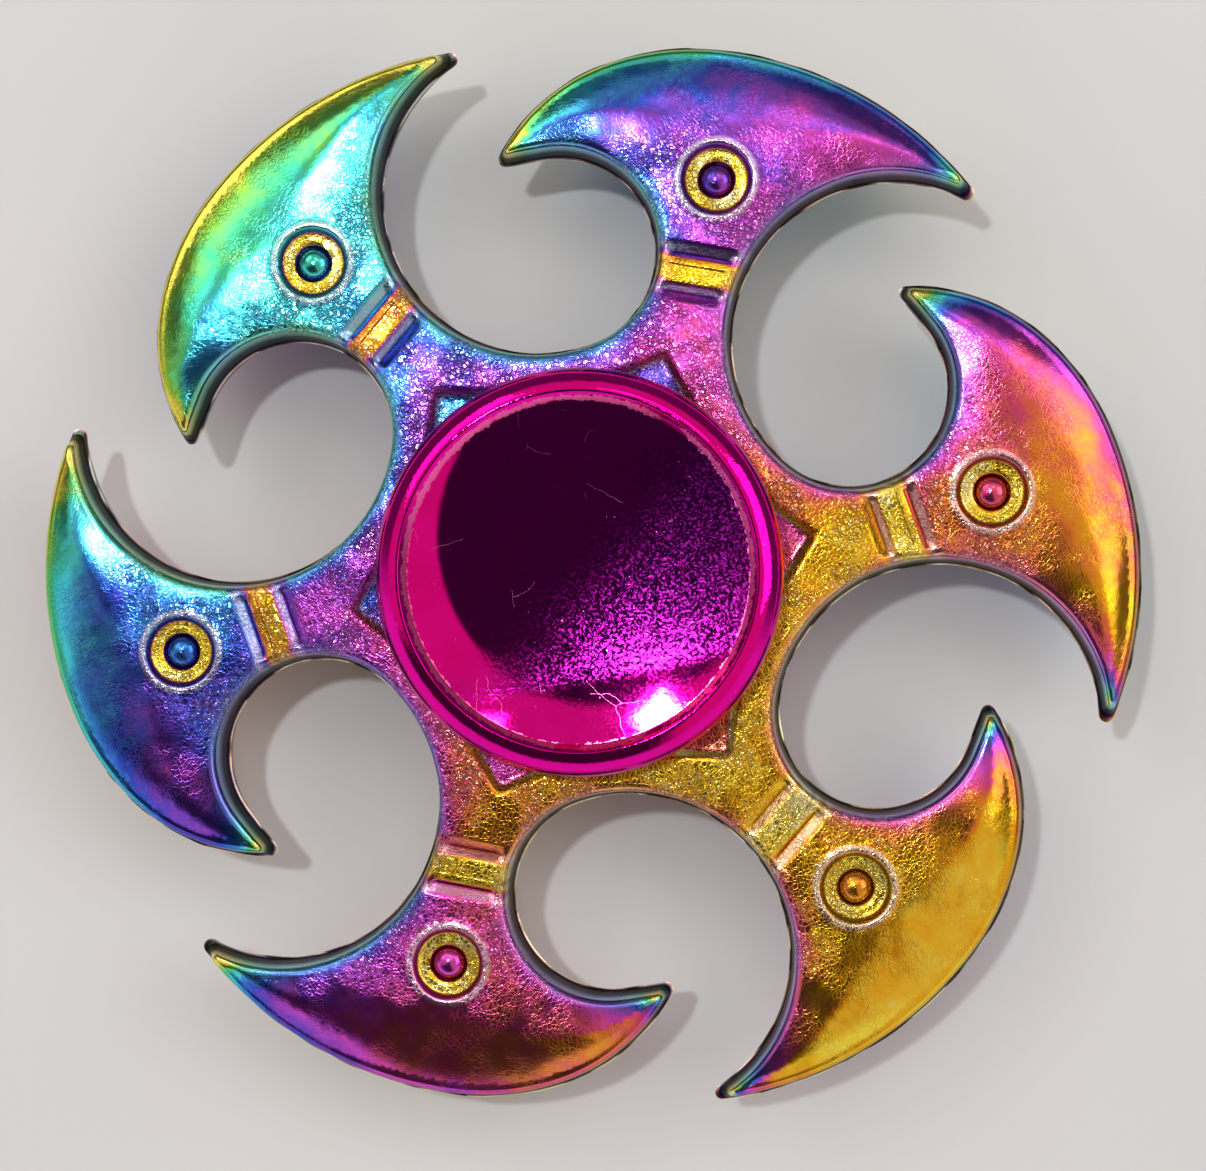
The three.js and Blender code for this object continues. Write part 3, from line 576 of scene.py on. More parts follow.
def lathe(profile, steps=ROUND_STEPS):
    """A solid of revolution about Z from (radius, height) points. A profile that starts on the axis also
    ends on it; any other is a closed loop."""
    profile = [tuple(p) for p in profile]
    is_loop = profile[0][0] > 0
    corners, rings = [], []
    for r, z in profile:
        if r == 0:
            rings.append([len(corners)] * steps)
            corners.append((0.0, 0.0, z))
        else:
            rings.append(list(range(len(corners), len(corners) + steps)))
            a = TAU * np.arange(steps) / steps
            corners += [(r * math.cos(t), r * math.sin(t), z) for t in a]
    if is_loop:
        rings.append(rings[0])
    faces = []
    for lower, upper in zip(rings, rings[1:]):
        for i in range(steps):
            j = (i + 1) % steps
            face = [lower[i], lower[j], upper[j], upper[i]]
            faces.append([v for n, v in enumerate(face) if v not in face[:n]])
    return np.array(corners), faces


def arc_points(centre, radii, first, last, count):
    """Points along part of an ellipse, with angles in degrees."""
    a = np.radians(np.linspace(first, last, count))
    return [(centre[0] + radii[0] * math.cos(t), centre[1] + radii[1] * math.sin(t)) for t in a]


def mirrored(profile):
    """The same section below the middle plane, in the order that continues it."""
    return [(r, -z) for r, z in reversed(profile)]


CAP_R, CAP_TOP, CAP_UNDER, CAP_SIDE_TOP = 11.52, 6.0, 3.9, 4.75
CREST_R, CREST_ANGLE = 10.24, math.radians(70)  # the shoulder stops short of level, at a crest
DISH_R, DISH_EDGE, DISH_FLOOR = 9.65, 5.5, 4.75
BOSS_R, BOSS_Z = 5.7, 3.52
SLEEVE_R, SPLIT_Z = 3.96, 0.15
PIN_R, PIN_END = 2.3, -3.4
SOCKET_R, SOCKET_END = 2.34, -3.7
UNDER_ROUND, CREST_ROUND, PIN_CHAMFER = 0.35, 0.1, 0.4


def flange_profile():
    """The dished flange that both finger caps share, from the boss to the middle of the dish."""
    wide = (CAP_R - CREST_R) / (1 - math.cos(CREST_ANGLE))
    tall = (CAP_TOP - CAP_SIDE_TOP) / math.sin(CREST_ANGLE)
    dish = [(f * DISH_R, mix(DISH_FLOOR, DISH_EDGE, f * f)) for f in np.linspace(1, 0, 40)]
    return [
        (BOSS_R, BOSS_Z),
        (BOSS_R, CAP_UNDER),
        *arc_points((CAP_R - UNDER_ROUND, CAP_UNDER + UNDER_ROUND), (UNDER_ROUND,) * 2, -90, 0, 7),
        *arc_points((CAP_R - wide, CAP_SIDE_TOP), (wide, tall), 0, math.degrees(CREST_ANGLE), 16),
        *arc_points((CREST_R - CREST_ROUND, CAP_TOP - CREST_ROUND), (CREST_ROUND,) * 2, 80, 145, 4),
        *dish,
    ]


def upper_cap_profile():
    return [
        (0, PIN_END),
        (PIN_R - PIN_CHAMFER, PIN_END),
        (PIN_R, PIN_END + PIN_CHAMFER),
        (PIN_R, SPLIT_Z),
        (SLEEVE_R, SPLIT_Z),
        (SLEEVE_R, BOSS_Z),
        *flange_profile(),
    ]


def lower_cap_profile():
    inner = [
        (0, SOCKET_END),
        (SOCKET_R, SOCKET_END),
        (SOCKET_R, -SPLIT_Z),
        (SLEEVE_R, -SPLIT_Z),
        (SLEEVE_R, -BOSS_Z),
    ]
    return inner + [(r, -z) for r, z in flange_profile()]


# 608 ball bearing
BEARING_R, BORE, BEARING_HALF = 11.0, 4.0, 3.5
BALL_COUNT, BALL_R, PITCH_R, TRACK_R = 7, 3.969 / 2, 7.5, 2.1
INNER_SHOULDER_R, OUTER_SHOULDER_R = 6.1, 8.9
SEAT_R, SEAT_Z = 9.65, 2.55
CLIP_GROOVE_R, CLIP_GROOVE_Z = 9.92, (2.95, 3.3)
RACE_ROUND = 0.3


def track(shoulder, side):
    """Section of a ball track, from its upper shoulder to its lower one."""
    half = math.degrees(math.acos(abs(shoulder - PITCH_R) / TRACK_R))
    middle = 0 if side > 0 else 180
    return arc_points((PITCH_R, 0), (TRACK_R, TRACK_R), middle + side * half, middle - side * half, 15)


def outer_race_profile():
    upper = [
        *arc_points((BEARING_R - RACE_ROUND, BEARING_HALF - RACE_ROUND), (RACE_ROUND,) * 2, 0, 90, 5),
        (SEAT_R, BEARING_HALF),
        (SEAT_R, CLIP_GROOVE_Z[1]),
        (CLIP_GROOVE_R, CLIP_GROOVE_Z[1]),
        (CLIP_GROOVE_R, CLIP_GROOVE_Z[0]),
        (SEAT_R, CLIP_GROOVE_Z[0]),
        (SEAT_R, SEAT_Z),
        (OUTER_SHOULDER_R, SEAT_Z),
    ]
    return upper + track(OUTER_SHOULDER_R, 1) + mirrored(upper)


def inner_race_profile():
    upper = [
        *arc_points((BORE + RACE_ROUND, BEARING_HALF - RACE_ROUND), (RACE_ROUND,) * 2, 180, 90, 5),
        (INNER_SHOULDER_R, BEARING_HALF),
    ]
    return upper + track(INNER_SHOULDER_R, -1) + mirrored(upper)


SHIELD_PROFILE = [
    (6.25, 2.6),
    (9.62, 2.6),
    (9.62, 2.9),
    (9.25, 2.9),
    (9.1, 2.8),
    (6.4, 2.8),
    (6.3, 2.76),
    (6.25, 2.7),
]
SNAP_RING_R, SNAP_RING_Z, SNAP_RING_GAP = (9.42, 9.84), (2.98, 3.27), math.radians(22)


def snap_ring():
    """Open ring of square wire with rounded ends."""
    steps = 120
    angles = np.linspace(SNAP_RING_GAP / 2, TAU - SNAP_RING_GAP / 2, steps + 1)
    inner, outer = SNAP_RING_R
    low, high = SNAP_RING_Z
    soft = 0.05
    section = [(inner + soft, low), (outer - soft, low), (outer, low + soft), (outer, high - soft)]
    section += [(outer - soft, high), (inner + soft, high), (inner, high - soft), (inner, low + soft)]
    size = len(section)
    corners = [(r * math.cos(a), r * math.sin(a), z) for a in angles for r, z in section]
    faces = [list(range(size))[::-1], [steps * size + i for i in range(size)]]
    for i in range(steps):
        for k in range(size):
            m = (k + 1) % size
            faces.append([i * size + k, i * size + m, (i + 1) * size + m, (i + 1) * size + k])
    return np.array(corners), faces


RIBBON_R, RIBBON_THICK, RIBBON_PARTING, CUP_R = (6.7, 8.3), 0.3, 0.03, BALL_R + 0.12


def cage_ribbon():
    """Upper half of the cage: a stamped ribbon that arches over each ball and lies flat between them."""
    stations = []
    for k in range(BALL_COUNT):
        for a in np.linspace(math.pi, 0, 25):
            rise = math.sin(a)
            inner = (CUP_R * math.cos(a) / PITCH_R, max(CUP_R * rise, RIBBON_PARTING))
            radius = CUP_R + RIBBON_THICK
            outer = (radius * math.cos(a) / PITCH_R, max(radius * rise, RIBBON_PARTING + RIBBON_THICK))
            stations.append((k * TAU / BALL_COUNT, inner, outer))
    corners = []
    for centre, inner, outer in stations:
        near, far = RIBBON_R
        for r, (turn, z) in ((near, inner), (far, inner), (far, outer), (near, outer)):
            corners.append((r * math.cos(centre + turn), r * math.sin(centre + turn), z))
    faces = []
    for i in range(len(stations)):
        p, q = 4 * i, 4 * ((i + 1) % len(stations))
        faces += [[p + k, q + k, q + (k + 1) % 4, p + (k + 1) % 4] for k in range(4)]
    return np.array(corners), faces


def cage_rivet_profile():
    grip, end = RIBBON_PARTING + RIBBON_THICK + 0.01, RIBBON_PARTING + RIBBON_THICK + 0.25
    head = [(0.3, grip), (0.55, grip), *arc_points((0.2, grip), (0.35, end - grip), 20, 90, 6), (0, end)]
    return mirrored(head) + head


def ball(place):
    angles = np.linspace(0, math.pi, 25)
    corners, faces = lathe([(BALL_R * math.sin(a), -BALL_R * math.cos(a)) for a in angles], 48)
    return corners + np.array(place), faces


# ----- Materials -----


def srgb(*levels):
    """Linear colour from red, green and blue display values of 0 to 255."""
    linear = [c / 255 / 12.92 if c <= 10 else ((c / 255 + 0.055) / 1.055) ** 2.4 for c in levels]
    return (*linear, 1.0)


class Nodes:
    """Short ways to add nodes to a shader tree."""

    def __init__(self, tree):
        self.tree = tree

    def link(self, source, target):
        if isinstance(source, (int, float, tuple)):
            target.default_value = source
        else:
            self.tree.links.new(source, target)

    def maths(self, operation, a, b=0.0, c=0.0, clamp=False):
        node = self.tree.nodes.new("ShaderNodeMath")
        node.operation, node.use_clamp = operation, clamp
        for value, socket in zip((a, b, c), node.inputs):
            self.link(value, socket)
        return node.outputs[0]

    def times(self, a, b):
        return self.maths("MULTIPLY", a, b)

    def vector(self, operation, *values):
        node = self.tree.nodes.new("ShaderNodeVectorMath")
        node.operation = operation
        for value, socket in zip(values, node.inputs):
            self.link(value, socket)
        return node.outputs["Value" if operation == "DOT_PRODUCT" else "Vector"]

    def between(self, value, low, high, to_low=0.0, to_high=1.0):
        """value taken from low..high to to_low..to_high, held at the ends."""
        node = self.tree.nodes.new("ShaderNodeMapRange")
        node.interpolation_type = "SMOOTHSTEP"
        for number, socket in zip((value, low, high, to_low, to_high), node.inputs):
            self.link(number, socket)
        return node.outputs[0]

    def blend(self, share, a, b, mode="MIX"):
        node = self.tree.nodes.new("ShaderNodeMix")
        node.data_type, node.blend_type = "RGBA", mode
        self.link(share, node.inputs[0])
        self.link(a, node.inputs[6])
        self.link(b, node.inputs[7])
        return node.outputs[2]

    def ramp(self, value, stops):
        node = self.tree.nodes.new("ShaderNodeValToRGB")
        elements = node.color_ramp.elements
        while len(elements) < len(stops):
            elements.new(1.0)
        for element, (position, colour) in zip(elements, stops):
            element.position, element.color = position, colour
        self.link(value, node.inputs["Fac"])
        return node.outputs["Color"]


class Recipe(Nodes):
    """A material with one Principled shader, laid out over the piece in its own space."""

    def __init__(self, name, metallic=1.0, **settings):
        self.material = bpy.data.materials.new(name)
        self.material.use_nodes = True
        super().__init__(self.material.node_tree)
        self.shader = self.tree.nodes["Principled BSDF"]
        self.shader.inputs["Metallic"].default_value = metallic
        for socket, value in settings.items():
            self.shader.inputs[socket.replace("_", " ")].default_value = value
        self.place = self.tree.nodes.new("ShaderNodeTexCoord").outputs["Object"]

    def set(self, socket, source):
        self.link(source, self.shader.inputs[socket])

    def attribute(self, name):
        node = self.tree.nodes.new("ShaderNodeAttribute")
        node.attribute_name = name
        return node.outputs["Fac"]

    def across(self):
        """The place along X, along Y and along Z, and its distance from the axis."""
        node = self.tree.nodes.new("ShaderNodeSeparateXYZ")
        self.link(self.place, node.inputs[0])
        x, y, z = node.outputs
        return x, y, z, self.maths("SQRT", self.maths("ADD", self.times(x, x), self.times(y, y)))

    def scaled(self, x=1.0, y=1.0, z=1.0, turn=0.0):
        node = self.tree.nodes.new("ShaderNodeMapping")
        node.inputs["Scale"].default_value = (x, y, z)
        node.inputs["Rotation"].default_value = (0, 0, turn)
        self.link(self.place, node.inputs["Vector"])
        return node.outputs[0]

    def texture(self, kind, size, place=None):
        """A texture with features about size millimetres across."""
        node = self.tree.nodes.new("ShaderNodeTex" + kind)
        node.inputs["Scale"].default_value = 1 / (size * MM)
        self.link(place or self.place, node.inputs["Vector"])
        return node

    def noise(self, size, detail=3.0, rough=0.5, place=None, warp=0.0):
        node = self.texture("Noise", size, place)
        node.inputs["Detail"].default_value = detail
        node.inputs["Roughness"].default_value = rough
        node.inputs["Distortion"].default_value = warp
        return node.outputs["Fac"]

    def warped(self, size, reach):
        """The place moved about by up to reach millimetres, in swirls about size millimetres across."""
        swirls = self.texture("Noise", size).outputs["Color"]
        return self.vector("MULTIPLY_ADD", swirls, (2 * reach * MM,) * 3, self.place)

    def cells(self, size, feature="SMOOTH_F1", place=None):
        """Distance to the middle of each cell, or to its edge."""
        node = self.texture("Voronoi", size, place)
        node.feature = feature
        return node.outputs["Distance"]

    def leaning_cells(self, size, place, lean):
        """Height in millimetres of cells that each lean their own way, by up to half of lean."""
        node = self.texture("Voronoi", size, place)
        from_middle = self.vector("SUBTRACT", place, node.outputs["Position"])
        slope = self.vector("SUBTRACT", node.outputs["Color"], (0.5, 0.5, 0.5))
        return self.times(self.vector("DOT_PRODUCT", from_middle, slope), lean / MM)

    def bump(self, height, depth, strength=1.0, below=None):
        """Bump whose height of 1 stands for depth millimetres."""
        node = self.tree.nodes.new("ShaderNodeBump")
        node.inputs["Distance"].default_value = depth * MM
        self.link(strength, node.inputs["Strength"])
        self.link(height, node.inputs["Height"])
        if below is not None:
            self.link(below, node.inputs["Normal"])
        return node.outputs[0]


FILM_STOPS = [
    (0.00, srgb(238, 234, 176)),
    (0.06, srgb(234, 208, 66)),
    (0.14, srgb(228, 176, 26)),
    (0.22, srgb(222, 126, 60)),
    (0.30, srgb(218, 84, 124)),
    (0.38, srgb(206, 76, 196)),
    (0.47, srgb(128, 68, 192)),
    (0.55, srgb(56, 78, 196)),
    (0.63, srgb(60, 142, 222)),
    (0.71, srgb(74, 208, 224)),
    (0.80, srgb(70, 202, 150)),
    (0.90, srgb(140, 216, 80)),
    (1.00, srgb(234, 226, 90)),
]


# Colours of dark stains, of dirt and painted shade in the cracks, and of painted highlights.
SMUDGE_COLOUR, CRACK_DIRT_AND_SHADE_COLOUR, PAINTED_HIGHLIGHT_COLOUR = srgb(30, 10, 30), srgb(30, 12, 36), srgb(236, 238, 244)


def rainbow_material():
    """Zinc casting under a vapour-deposited film whose thickness sets its colour. The cast skin is broken
    up into small plates that lean this way and that, with fine cracks between them."""
    m = Recipe("rainbow_film")
    film, painted_shade, cast, painted_highlight = (m.attribute(n) for n in ("film", "painted_shade", "cast", "painted_highlight"))
    smooth_skin = m.maths("SUBTRACT", 1.0, cast, clamp=True)

    bent = m.warped(0.6, 0.18)
    crack = m.between(m.cells(0.25, "DISTANCE_TO_EDGE", place=bent), 0.02, 0.13)
    crumbs = m.between(m.cells(0.13, "DISTANCE_TO_EDGE", place=bent), 0.02, 0.2)
    rough_skin = m.between(m.noise(2.4, 2.0, 0.5), 0.40, 0.62)
    skin = m.times(cast, m.maths("MULTIPLY_ADD", rough_skin, 0.75, 0.25))

    patches = m.noise(2.8, 4.0, 0.6, warp=0.5)
    grain = m.noise(0.35, 2.0, 0.6)
    smudge = m.between(m.noise(3.6, 4.0, 0.6, warp=0.3), 0.50, 0.72)
    smudge = m.times(smudge, smooth_skin)
    thick = m.maths("MULTIPLY_ADD", patches, 0.24, film)
    thick = m.maths("MULTIPLY_ADD", m.times(grain, cast), 0.10, thick)
    thick = m.maths("MULTIPLY_ADD", smudge, 0.07, thick)
    thick = m.maths("SUBTRACT", thick, 0.16)
    colour = m.ramp(thick, FILM_STOPS)
    colour = m.blend(m.times(smudge, 0.55), colour, m.blend(0.5, colour, SMUDGE_COLOUR))
    # Dark dirt and painted shade in the cracks between the plates.
    in_crack = m.times(m.maths("SUBTRACT", 1.0, crack), skin)
    colour = m.blend(m.times(in_crack, 0.55), colour, CRACK_DIRT_AND_SHADE_COLOUR)
    waves = m.noise(0.26, 2.0, 0.55, warp=0.4)
    # Painted highlight: the crests of the plates, and the places given by the highlight attribute, blend
    # towards a pale colour.
    crest = m.times(m.between(waves, 0.50, 0.64), m.times(crack, skin))
    colour = m.blend(m.maths("MULTIPLY_ADD", crest, 0.25, painted_highlight), colour, PAINTED_HIGHLIGHT_COLOUR)
    # Painted shade: the colour is multiplied by the shade attribute.
    grey = m.tree.nodes.new("ShaderNodeCombineColor")
    for socket in grey.inputs:
        m.link(painted_shade, socket)
    m.set("Base Color", m.blend(1.0, colour, grey.outputs[0], "MULTIPLY"))

    rough = m.maths("MULTIPLY_ADD", m.noise(0.9, 3.0, 0.6), 0.12, 0.10)
    rough = m.maths("MULTIPLY_ADD", smudge, 0.12, rough)
    rough = m.maths("MULTIPLY_ADD", in_crack, 0.25, rough)
    m.set("Roughness", m.maths("MULTIPLY_ADD", m.maths("SUBTRACT", 1.0, painted_shade, clamp=True), 0.25, rough))

    plates = m.bump(crack, 0.022, strength=skin)
    leaning = m.bump(m.leaning_cells(0.25, bent, 0.20), 1.0, strength=skin, below=plates)
    small = m.bump(crumbs, 0.006, strength=skin, below=leaning)
    lean = m.bump(waves, 0.016, strength=skin, below=small)
    streaks = m.noise(0.5, 2.0, 0.5, place=m.scaled(1.0, 0.12, 1.0, 0.6))
    fine = m.bump(streaks, 0.006, strength=0.6, below=lean)
    m.set("Normal", m.bump(m.noise(1.6, 2.0, 0.5), 0.020, strength=0.5, below=fine))
    return m.material


DYE, DYE_DEEP = srgb(228, 12, 160), srgb(214, 8, 140)
USED_COLOUR, DUST_COLOUR, SPECK_COLOUR = srgb(140, 16, 150), srgb(170, 40, 175), srgb(250, 190, 235)
HAIR_COLOUR, WORN_COLOUR = srgb(255, 200, 225), srgb(250, 122, 186)


def anodised_material():
    """Polished aluminium dyed magenta. One half of the dish is dimpled and dusty, a few kinked hairline
    scratches run across it, and the dye is rubbed off raggedly along its edge."""
    m = Recipe("anodised_magenta")
    x, y, _, radius = m.across()
    on_rim = m.between(radius, (DISH_R + 0.2) * MM, (DISH_R + 0.5) * MM)
    in_dish = m.maths("SUBTRACT", 1.0, on_rim)
    used = m.maths("ADD", m.times(x, 0.68), m.times(y, -0.73))
    used = m.maths("MULTIPLY_ADD", m.noise(2.5, 3.0, 0.6), 4 * MM, used)
    used = m.times(m.between(used, -1.5 * MM, 6 * MM), in_dish)
    used = m.times(used, m.between(y, -6.6 * MM, -5.6 * MM, 0.12, 1.0))
    bent = m.warped(1.6, 0.5)
    dust = m.times(used, m.between(m.noise(0.16, 3.0, 0.7, place=bent), 0.44, 0.62))

    off_edge = m.maths("ABSOLUTE", m.maths("SUBTRACT", radius, (DISH_R + 0.12) * MM))
    ragged = m.maths("MULTIPLY_ADD", m.noise(0.45, 5.0, 0.75), -0.70 * MM, off_edge)
    worn = m.between(ragged, -0.24 * MM, -0.18 * MM, 1.0, 0.0)
    worn = m.times(worn, m.between(m.noise(2.6, 3.0, 0.6), 0.34, 0.44))

    line = m.cells(3.3, "DISTANCE_TO_EDGE", place=bent)
    hair = m.between(line, 0.0, 0.0025, 1.0, 0.0)
    hair = m.times(hair, m.between(m.noise(3.4, 1.0, 0.5), 0.57, 0.60))
    hair = m.times(hair, in_dish)
    specks = m.between(m.cells(0.42, "F1"), 0.05, 0.13, 1.0, 0.0)
    specks = m.times(specks, m.between(m.noise(1.1, 2.0, 0.5), 0.52, 0.60))
    specks = m.times(specks, m.maths("MULTIPLY_ADD", used, 0.6, 0.25))

    base = m.ramp(m.noise(3.0, 3.0, 0.55), [(0.3, DYE_DEEP), (0.7, DYE)])
    base = m.blend(m.times(used, 0.75), base, USED_COLOUR)
    base = m.blend(m.times(dust, 0.5), base, DUST_COLOUR)
    base = m.blend(m.times(specks, 0.8), base, SPECK_COLOUR)
    base = m.blend(m.times(hair, 0.3), base, HAIR_COLOUR)
    m.set("Base Color", m.blend(m.times(worn, 0.8), base, WORN_COLOUR))
    rough = m.maths("MULTIPLY_ADD", m.noise(1.2, 4.0, 0.7), 0.03, 0.01)
    rough = m.maths("MULTIPLY_ADD", m.maths("ADD", specks, hair), 0.30, rough)
    rough = m.maths("MULTIPLY_ADD", dust, 0.20, rough)
    m.set("Roughness", m.maths("MULTIPLY_ADD", worn, 0.25, rough))
    dimples = m.bump(m.cells(0.26), 0.005, strength=used)
    grain = m.bump(m.noise(0.11, 2.0, 0.6), 0.003, strength=used, below=dimples)
    dents = m.bump(m.noise(0.5, 2.0, 0.6), 0.010, strength=on_rim, below=grain)
    m.set("Normal", m.bump(m.noise(2.4, 2.0, 0.4), 0.003, strength=0.5, below=dents))
    return m.material


def steel_material(name, light, dark, rough, line_size, line_depth):
    """Steel of uneven tone with fine turning lines round the axis."""
    m = Recipe(name)
    _, _, z, radius = m.across()
    joined = m.tree.nodes.new("ShaderNodeCombineXYZ")
    m.link(radius, joined.inputs[0])
    m.link(z, joined.inputs[2])
    lines = m.noise(line_size, 3.0, 0.6, place=joined.outputs[0])
    m.set("Base Color", m.ramp(m.noise(2.0, 3.0, 0.6), [(0.35, dark), (0.65, light)]))
    m.set("Roughness", m.maths("MULTIPLY_ADD", lines, 0.12, rough))
    m.set("Normal", m.bump(lines, line_depth, strength=0.5))
    return m.material


def floor_material():
    """Matt pale board."""
    m = Recipe("pale_board", metallic=0.0, Roughness=0.8)
    tones = [(0.3, srgb(219, 225, 229)), (0.7, srgb(224, 229, 232))]
    m.set("Base Color", m.ramp(m.noise(40.0, 2.0, 0.5), tones))
    m.set("Normal", m.bump(m.noise(0.8, 3.0, 0.6), 0.01, strength=0.2))
    return m.material


# ----- Objects -----


def make_object(name, corners, faces, material, sharp=35.0, values=None):
    """A mesh from millimetres, smooth except across edges sharper than the angle in degrees. values holds
    lists of one number per corner, by name."""
    mesh = bpy.data.meshes.new(name)
    mesh.from_pydata((np.asarray(corners) * MM).tolist(), [], [list(map(int, f)) for f in faces])
    mesh.validate()
    mesh.shade_smooth()
    mesh.set_sharp_from_angle(angle=math.radians(sharp))
    for key, numbers in (values or {}).items():
        layer = mesh.attributes.new(key, "FLOAT", "POINT")
        layer.data.foreach_set("value", np.asarray(numbers, np.float32))
    mesh.materials.append(material)
    made = bpy.data.objects.new(name, mesh)
    bpy.context.scene.collection.objects.link(made)
    return made


def add_piece(made, body, node):
    """Rides on its body and stands for its CAD node."""
    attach(made, body)
    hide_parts(node)
    return made


def add_blade_ring():
    corners, triangles, local, ways, depth, sides = whole_ring()
    film, painted_shade, cast, painted_highlight = film_values(corners, local, depth, sides)
    corners[:, 2] += relief(corners, depth, sides, cast)
    flash = np.clip(ripple(corners, FLASH_SIZE, 31), -1, 1) * FLASH_DEPTH * (depth > SEAM_ROOT_DEPTH)
    corners[:, :2] += ways * flash[:, None]
    values = {"film": film, "painted_shade": painted_shade, "cast": cast, "painted_highlight": painted_highlight}
    made = make_object("blade_ring", corners, triangles, rainbow_material(), 40.0, values)
    add_piece(made, "rotor", "spinner_body")


def add_caps():
    material = anodised_material()
    for name, profile, node in (
        ("upper_finger_cap", upper_cap_profile(), "upper_cap"),
        ("lower_finger_cap", lower_cap_profile()[::-1], "lower_cap"),
    ):
        made = make_object(name, *lathe(profile), material, 30.0)
        add_piece(made, "hub", node)


# Name, light and dark tone, roughness, and size and depth of the turning lines in millimetres
STEEL = [
    ("race_steel", srgb(208, 210, 213), srgb(188, 190, 194), 0.16, 0.08, 0.004),
    ("ball_steel", srgb(225, 227, 230), srgb(214, 216, 220), 0.04, 0.3, 0.0005),
    ("stamped_steel", srgb(190, 191, 192), srgb(165, 166, 168), 0.28, 0.12, 0.008),
    ("spring_steel", srgb(120, 121, 125), srgb(98, 99, 104), 0.25, 0.15, 0.006),
]


def add_bearing():
    race, bright, stamped, spring = (steel_material(*finish) for finish in STEEL)
    outer_race = make_object("outer_race", *lathe(outer_race_profile()), race)
    add_piece(outer_race, "rotor", "bearing_outer_race")
    inner_race = make_object("inner_race", *lathe(inner_race_profile()), race)
    add_piece(inner_race, "hub", "bearing_inner_race")
    for side, word in ((1, "upper"), (-1, "lower")):
        for name, (corners, faces), body, material, node, slot in (
            ("dust_shield", lathe(SHIELD_PROFILE), "rotor", stamped, "shield", "stamped_steel"),
            ("snap_ring_wire", snap_ring(), "rotor", spring, "snap_ring", "spring_steel"),
            ("ball_cage", cage_ribbon(), "cage", stamped, "cage_half", "stamped_steel"),
        ):
            placed = corners * (1, 1, side)
            outward = faces if side > 0 else [f[::-1] for f in faces]
            made = make_object(f"{word}_{name}", placed, outward, material)
            add_piece(made, body, f"{word}_{node}")
    for k in range(BALL_COUNT):
        a = k * TAU / BALL_COUNT
        place = (PITCH_R * math.cos(a), PITCH_R * math.sin(a), 0)
        made = make_object(f"ball_{k + 1}_of_7", *ball(place), bright, 60.0)
        add_piece(made, f"ball_{k + 1}", f"bearing_ball_{k + 1}")
        a += math.pi / BALL_COUNT
        corners, faces = lathe(cage_rivet_profile(), 24)
        placed = corners + np.array((PITCH_R * math.cos(a), PITCH_R * math.sin(a), 0))
        made = make_object(f"cage_pin_{k + 1}", placed, faces, stamped)
        add_piece(made, "cage", f"cage_rivet_{k + 1}")


FLOOR_HALF = 1500.0


def add_floor():
    z = cad_low.z / MM
    corners = [(x * FLOOR_HALF, y * FLOOR_HALF, z) for x, y in ((-1, -1), (1, -1), (1, 1), (-1, 1))]
    make_object("floor", corners, [(0, 1, 2, 3)], floor_material())


# ----- Camera and light -----

LENS, SENSOR = 74.63, 36.0
CAMERA_TURNS = ((0.194153, "Z"), (-0.069842, "Y"), (-0.020554, "X"))
OBJECT_SEEN_AT = Vector((-1.0265, 0.7166, -145.38)) * MM  # the object's origin, seen from the camera


def add_camera():
    data = bpy.data.cameras.new("camera")
    data.lens, data.sensor_width, data.sensor_fit = LENS, SENSOR, "HORIZONTAL"
    data.clip_start = 0.01
    camera = bpy.data.objects.new("camera", data)
    about_z, about_y, about_x = (Matrix.Rotation(angle, 3, axis) for angle, axis in CAMERA_TURNS)
    turn = (about_z @ about_y @ about_x).transposed()
    camera.matrix_world = Matrix.Translation(-(turn @ OBJECT_SEEN_AT)) @ turn.to_4x4()
    bpy.context.scene.collection.objects.link(camera)
    bpy.context.scene.camera = camera


# Name, angle off straight up and direction from +X in degrees, distance and size in metres, radiance
LIGHTS = [
    ("lamp", 15, 123, 0.40, (0.022, 0.017), 330),
    ("small_lamp", 11.5, 72, 0.40, (0.012, 0.008), 30),
    ("key_box", 46, 125, 0.50, (0.28, 0.18), 1.4),
    ("right_box", 48, 5, 0.50, (0.34, 0.22), 1.8),
    ("top_box", 30, 60, 0.55, (0.20, 0.12), 1.6),
]


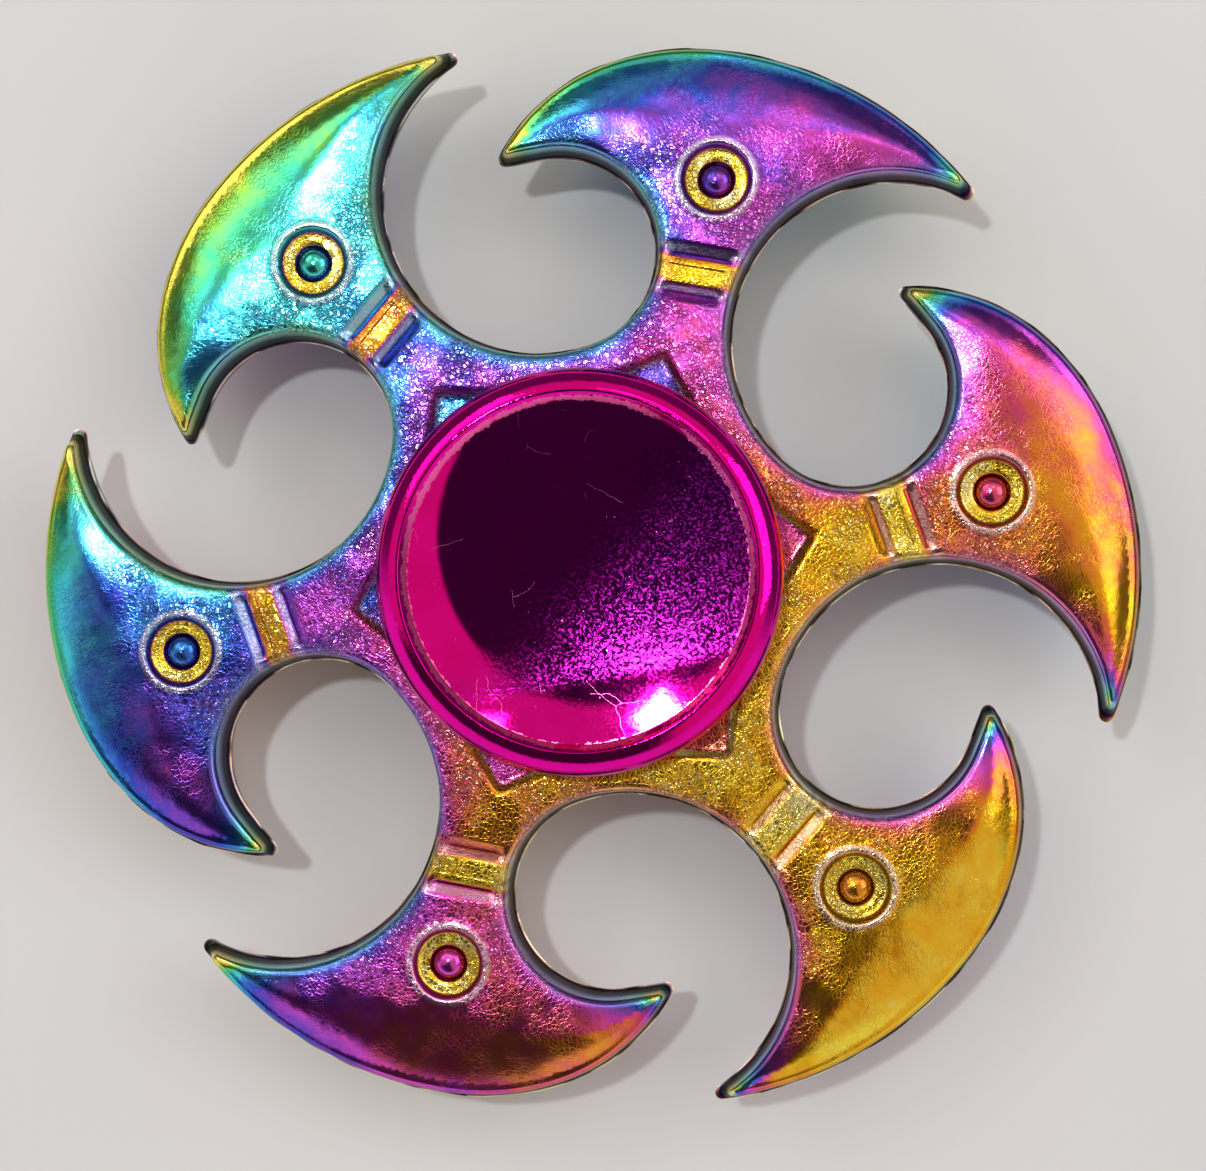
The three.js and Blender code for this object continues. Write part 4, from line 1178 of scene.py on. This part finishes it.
def add_light(name, lean, heading, distance, size, radiance):
    """A soft box that faces the object and looks as bright as its radiance."""
    width, height = size
    data = bpy.data.lights.new(name, "AREA")
    data.shape, data.size, data.size_y = "RECTANGLE", width, height
    data.energy = radiance * math.pi * width * height
    lean, heading = math.radians(lean), math.radians(heading)
    level = math.sin(lean)
    way = Vector((level * math.cos(heading), level * math.sin(heading), math.cos(lean)))
    facing = way.to_track_quat("Z", "Y").to_matrix().to_4x4()
    light = bpy.data.objects.new(name, data)
    light.matrix_world = Matrix.Translation(way * distance) @ facing
    light.visible_camera = False
    bpy.context.scene.collection.objects.link(light)


# Room: high up and low down, each with a pale and a dark side that blend across a heading, and overhead a
# round patch. A blend is from one cosine of the angle to another, and LOW_TOP from one height to another.
HIGH_PALE, HIGH_DARK = (0.78, 0.60, 0.48, 1), (0.06, 0.05, 0.06, 1)
LOW_PALE, LOW_DARK = (0.90, 0.88, 0.88, 1), (0.16, 0.15, 0.16, 1)
HIGH_WAY, HIGH_BLEND = (-0.588, -0.809, 0), (0.57, 0.76)
LOW_WAY, LOW_BLEND = (-0.34, -0.94, 0), (-0.05, 0.35)
LOW_TOP = (0.50, 0.62)
PATCH_WAY, PATCH_EDGE = (-0.122, -0.012, 0.9925), (0.9720, 0.9736)
PATCH_COLOUR = (0.04, 0.035, 0.06, 1)


def add_world():
    """A room that is pale on one side high up and on another low down, with a round dark patch overhead."""
    world = bpy.data.worlds.new("room")
    world.use_nodes = True
    w = Nodes(world.node_tree)
    way = w.tree.nodes.new("ShaderNodeTexCoord").outputs["Generated"]
    heading = w.vector("NORMALIZE", w.vector("MULTIPLY", way, (1, 1, 0)))
    height = w.vector("DOT_PRODUCT", way, (0, 0, 1))
    in_dark = w.between(w.vector("DOT_PRODUCT", heading, HIGH_WAY), *HIGH_BLEND)
    high = w.blend(in_dark, HIGH_PALE, HIGH_DARK)
    in_pale = w.between(w.vector("DOT_PRODUCT", heading, LOW_WAY), *LOW_BLEND)
    low = w.blend(in_pale, LOW_DARK, LOW_PALE)
    sides = w.blend(w.between(height, *LOW_TOP), low, high)
    in_patch = w.between(w.vector("DOT_PRODUCT", way, PATCH_WAY), *PATCH_EDGE)
    w.link(w.blend(in_patch, sides, PATCH_COLOUR), w.tree.nodes["Background"].inputs["Color"])
    bpy.context.scene.world = world


def add_lights():
    for light in LIGHTS:
        add_light(*light)


def main():
    add_camera()
    add_blade_ring()
    add_caps()
    add_bearing()
    add_floor()
    add_world()
    add_lights()
    bpy.context.scene.view_settings.view_transform = "Standard"


main()
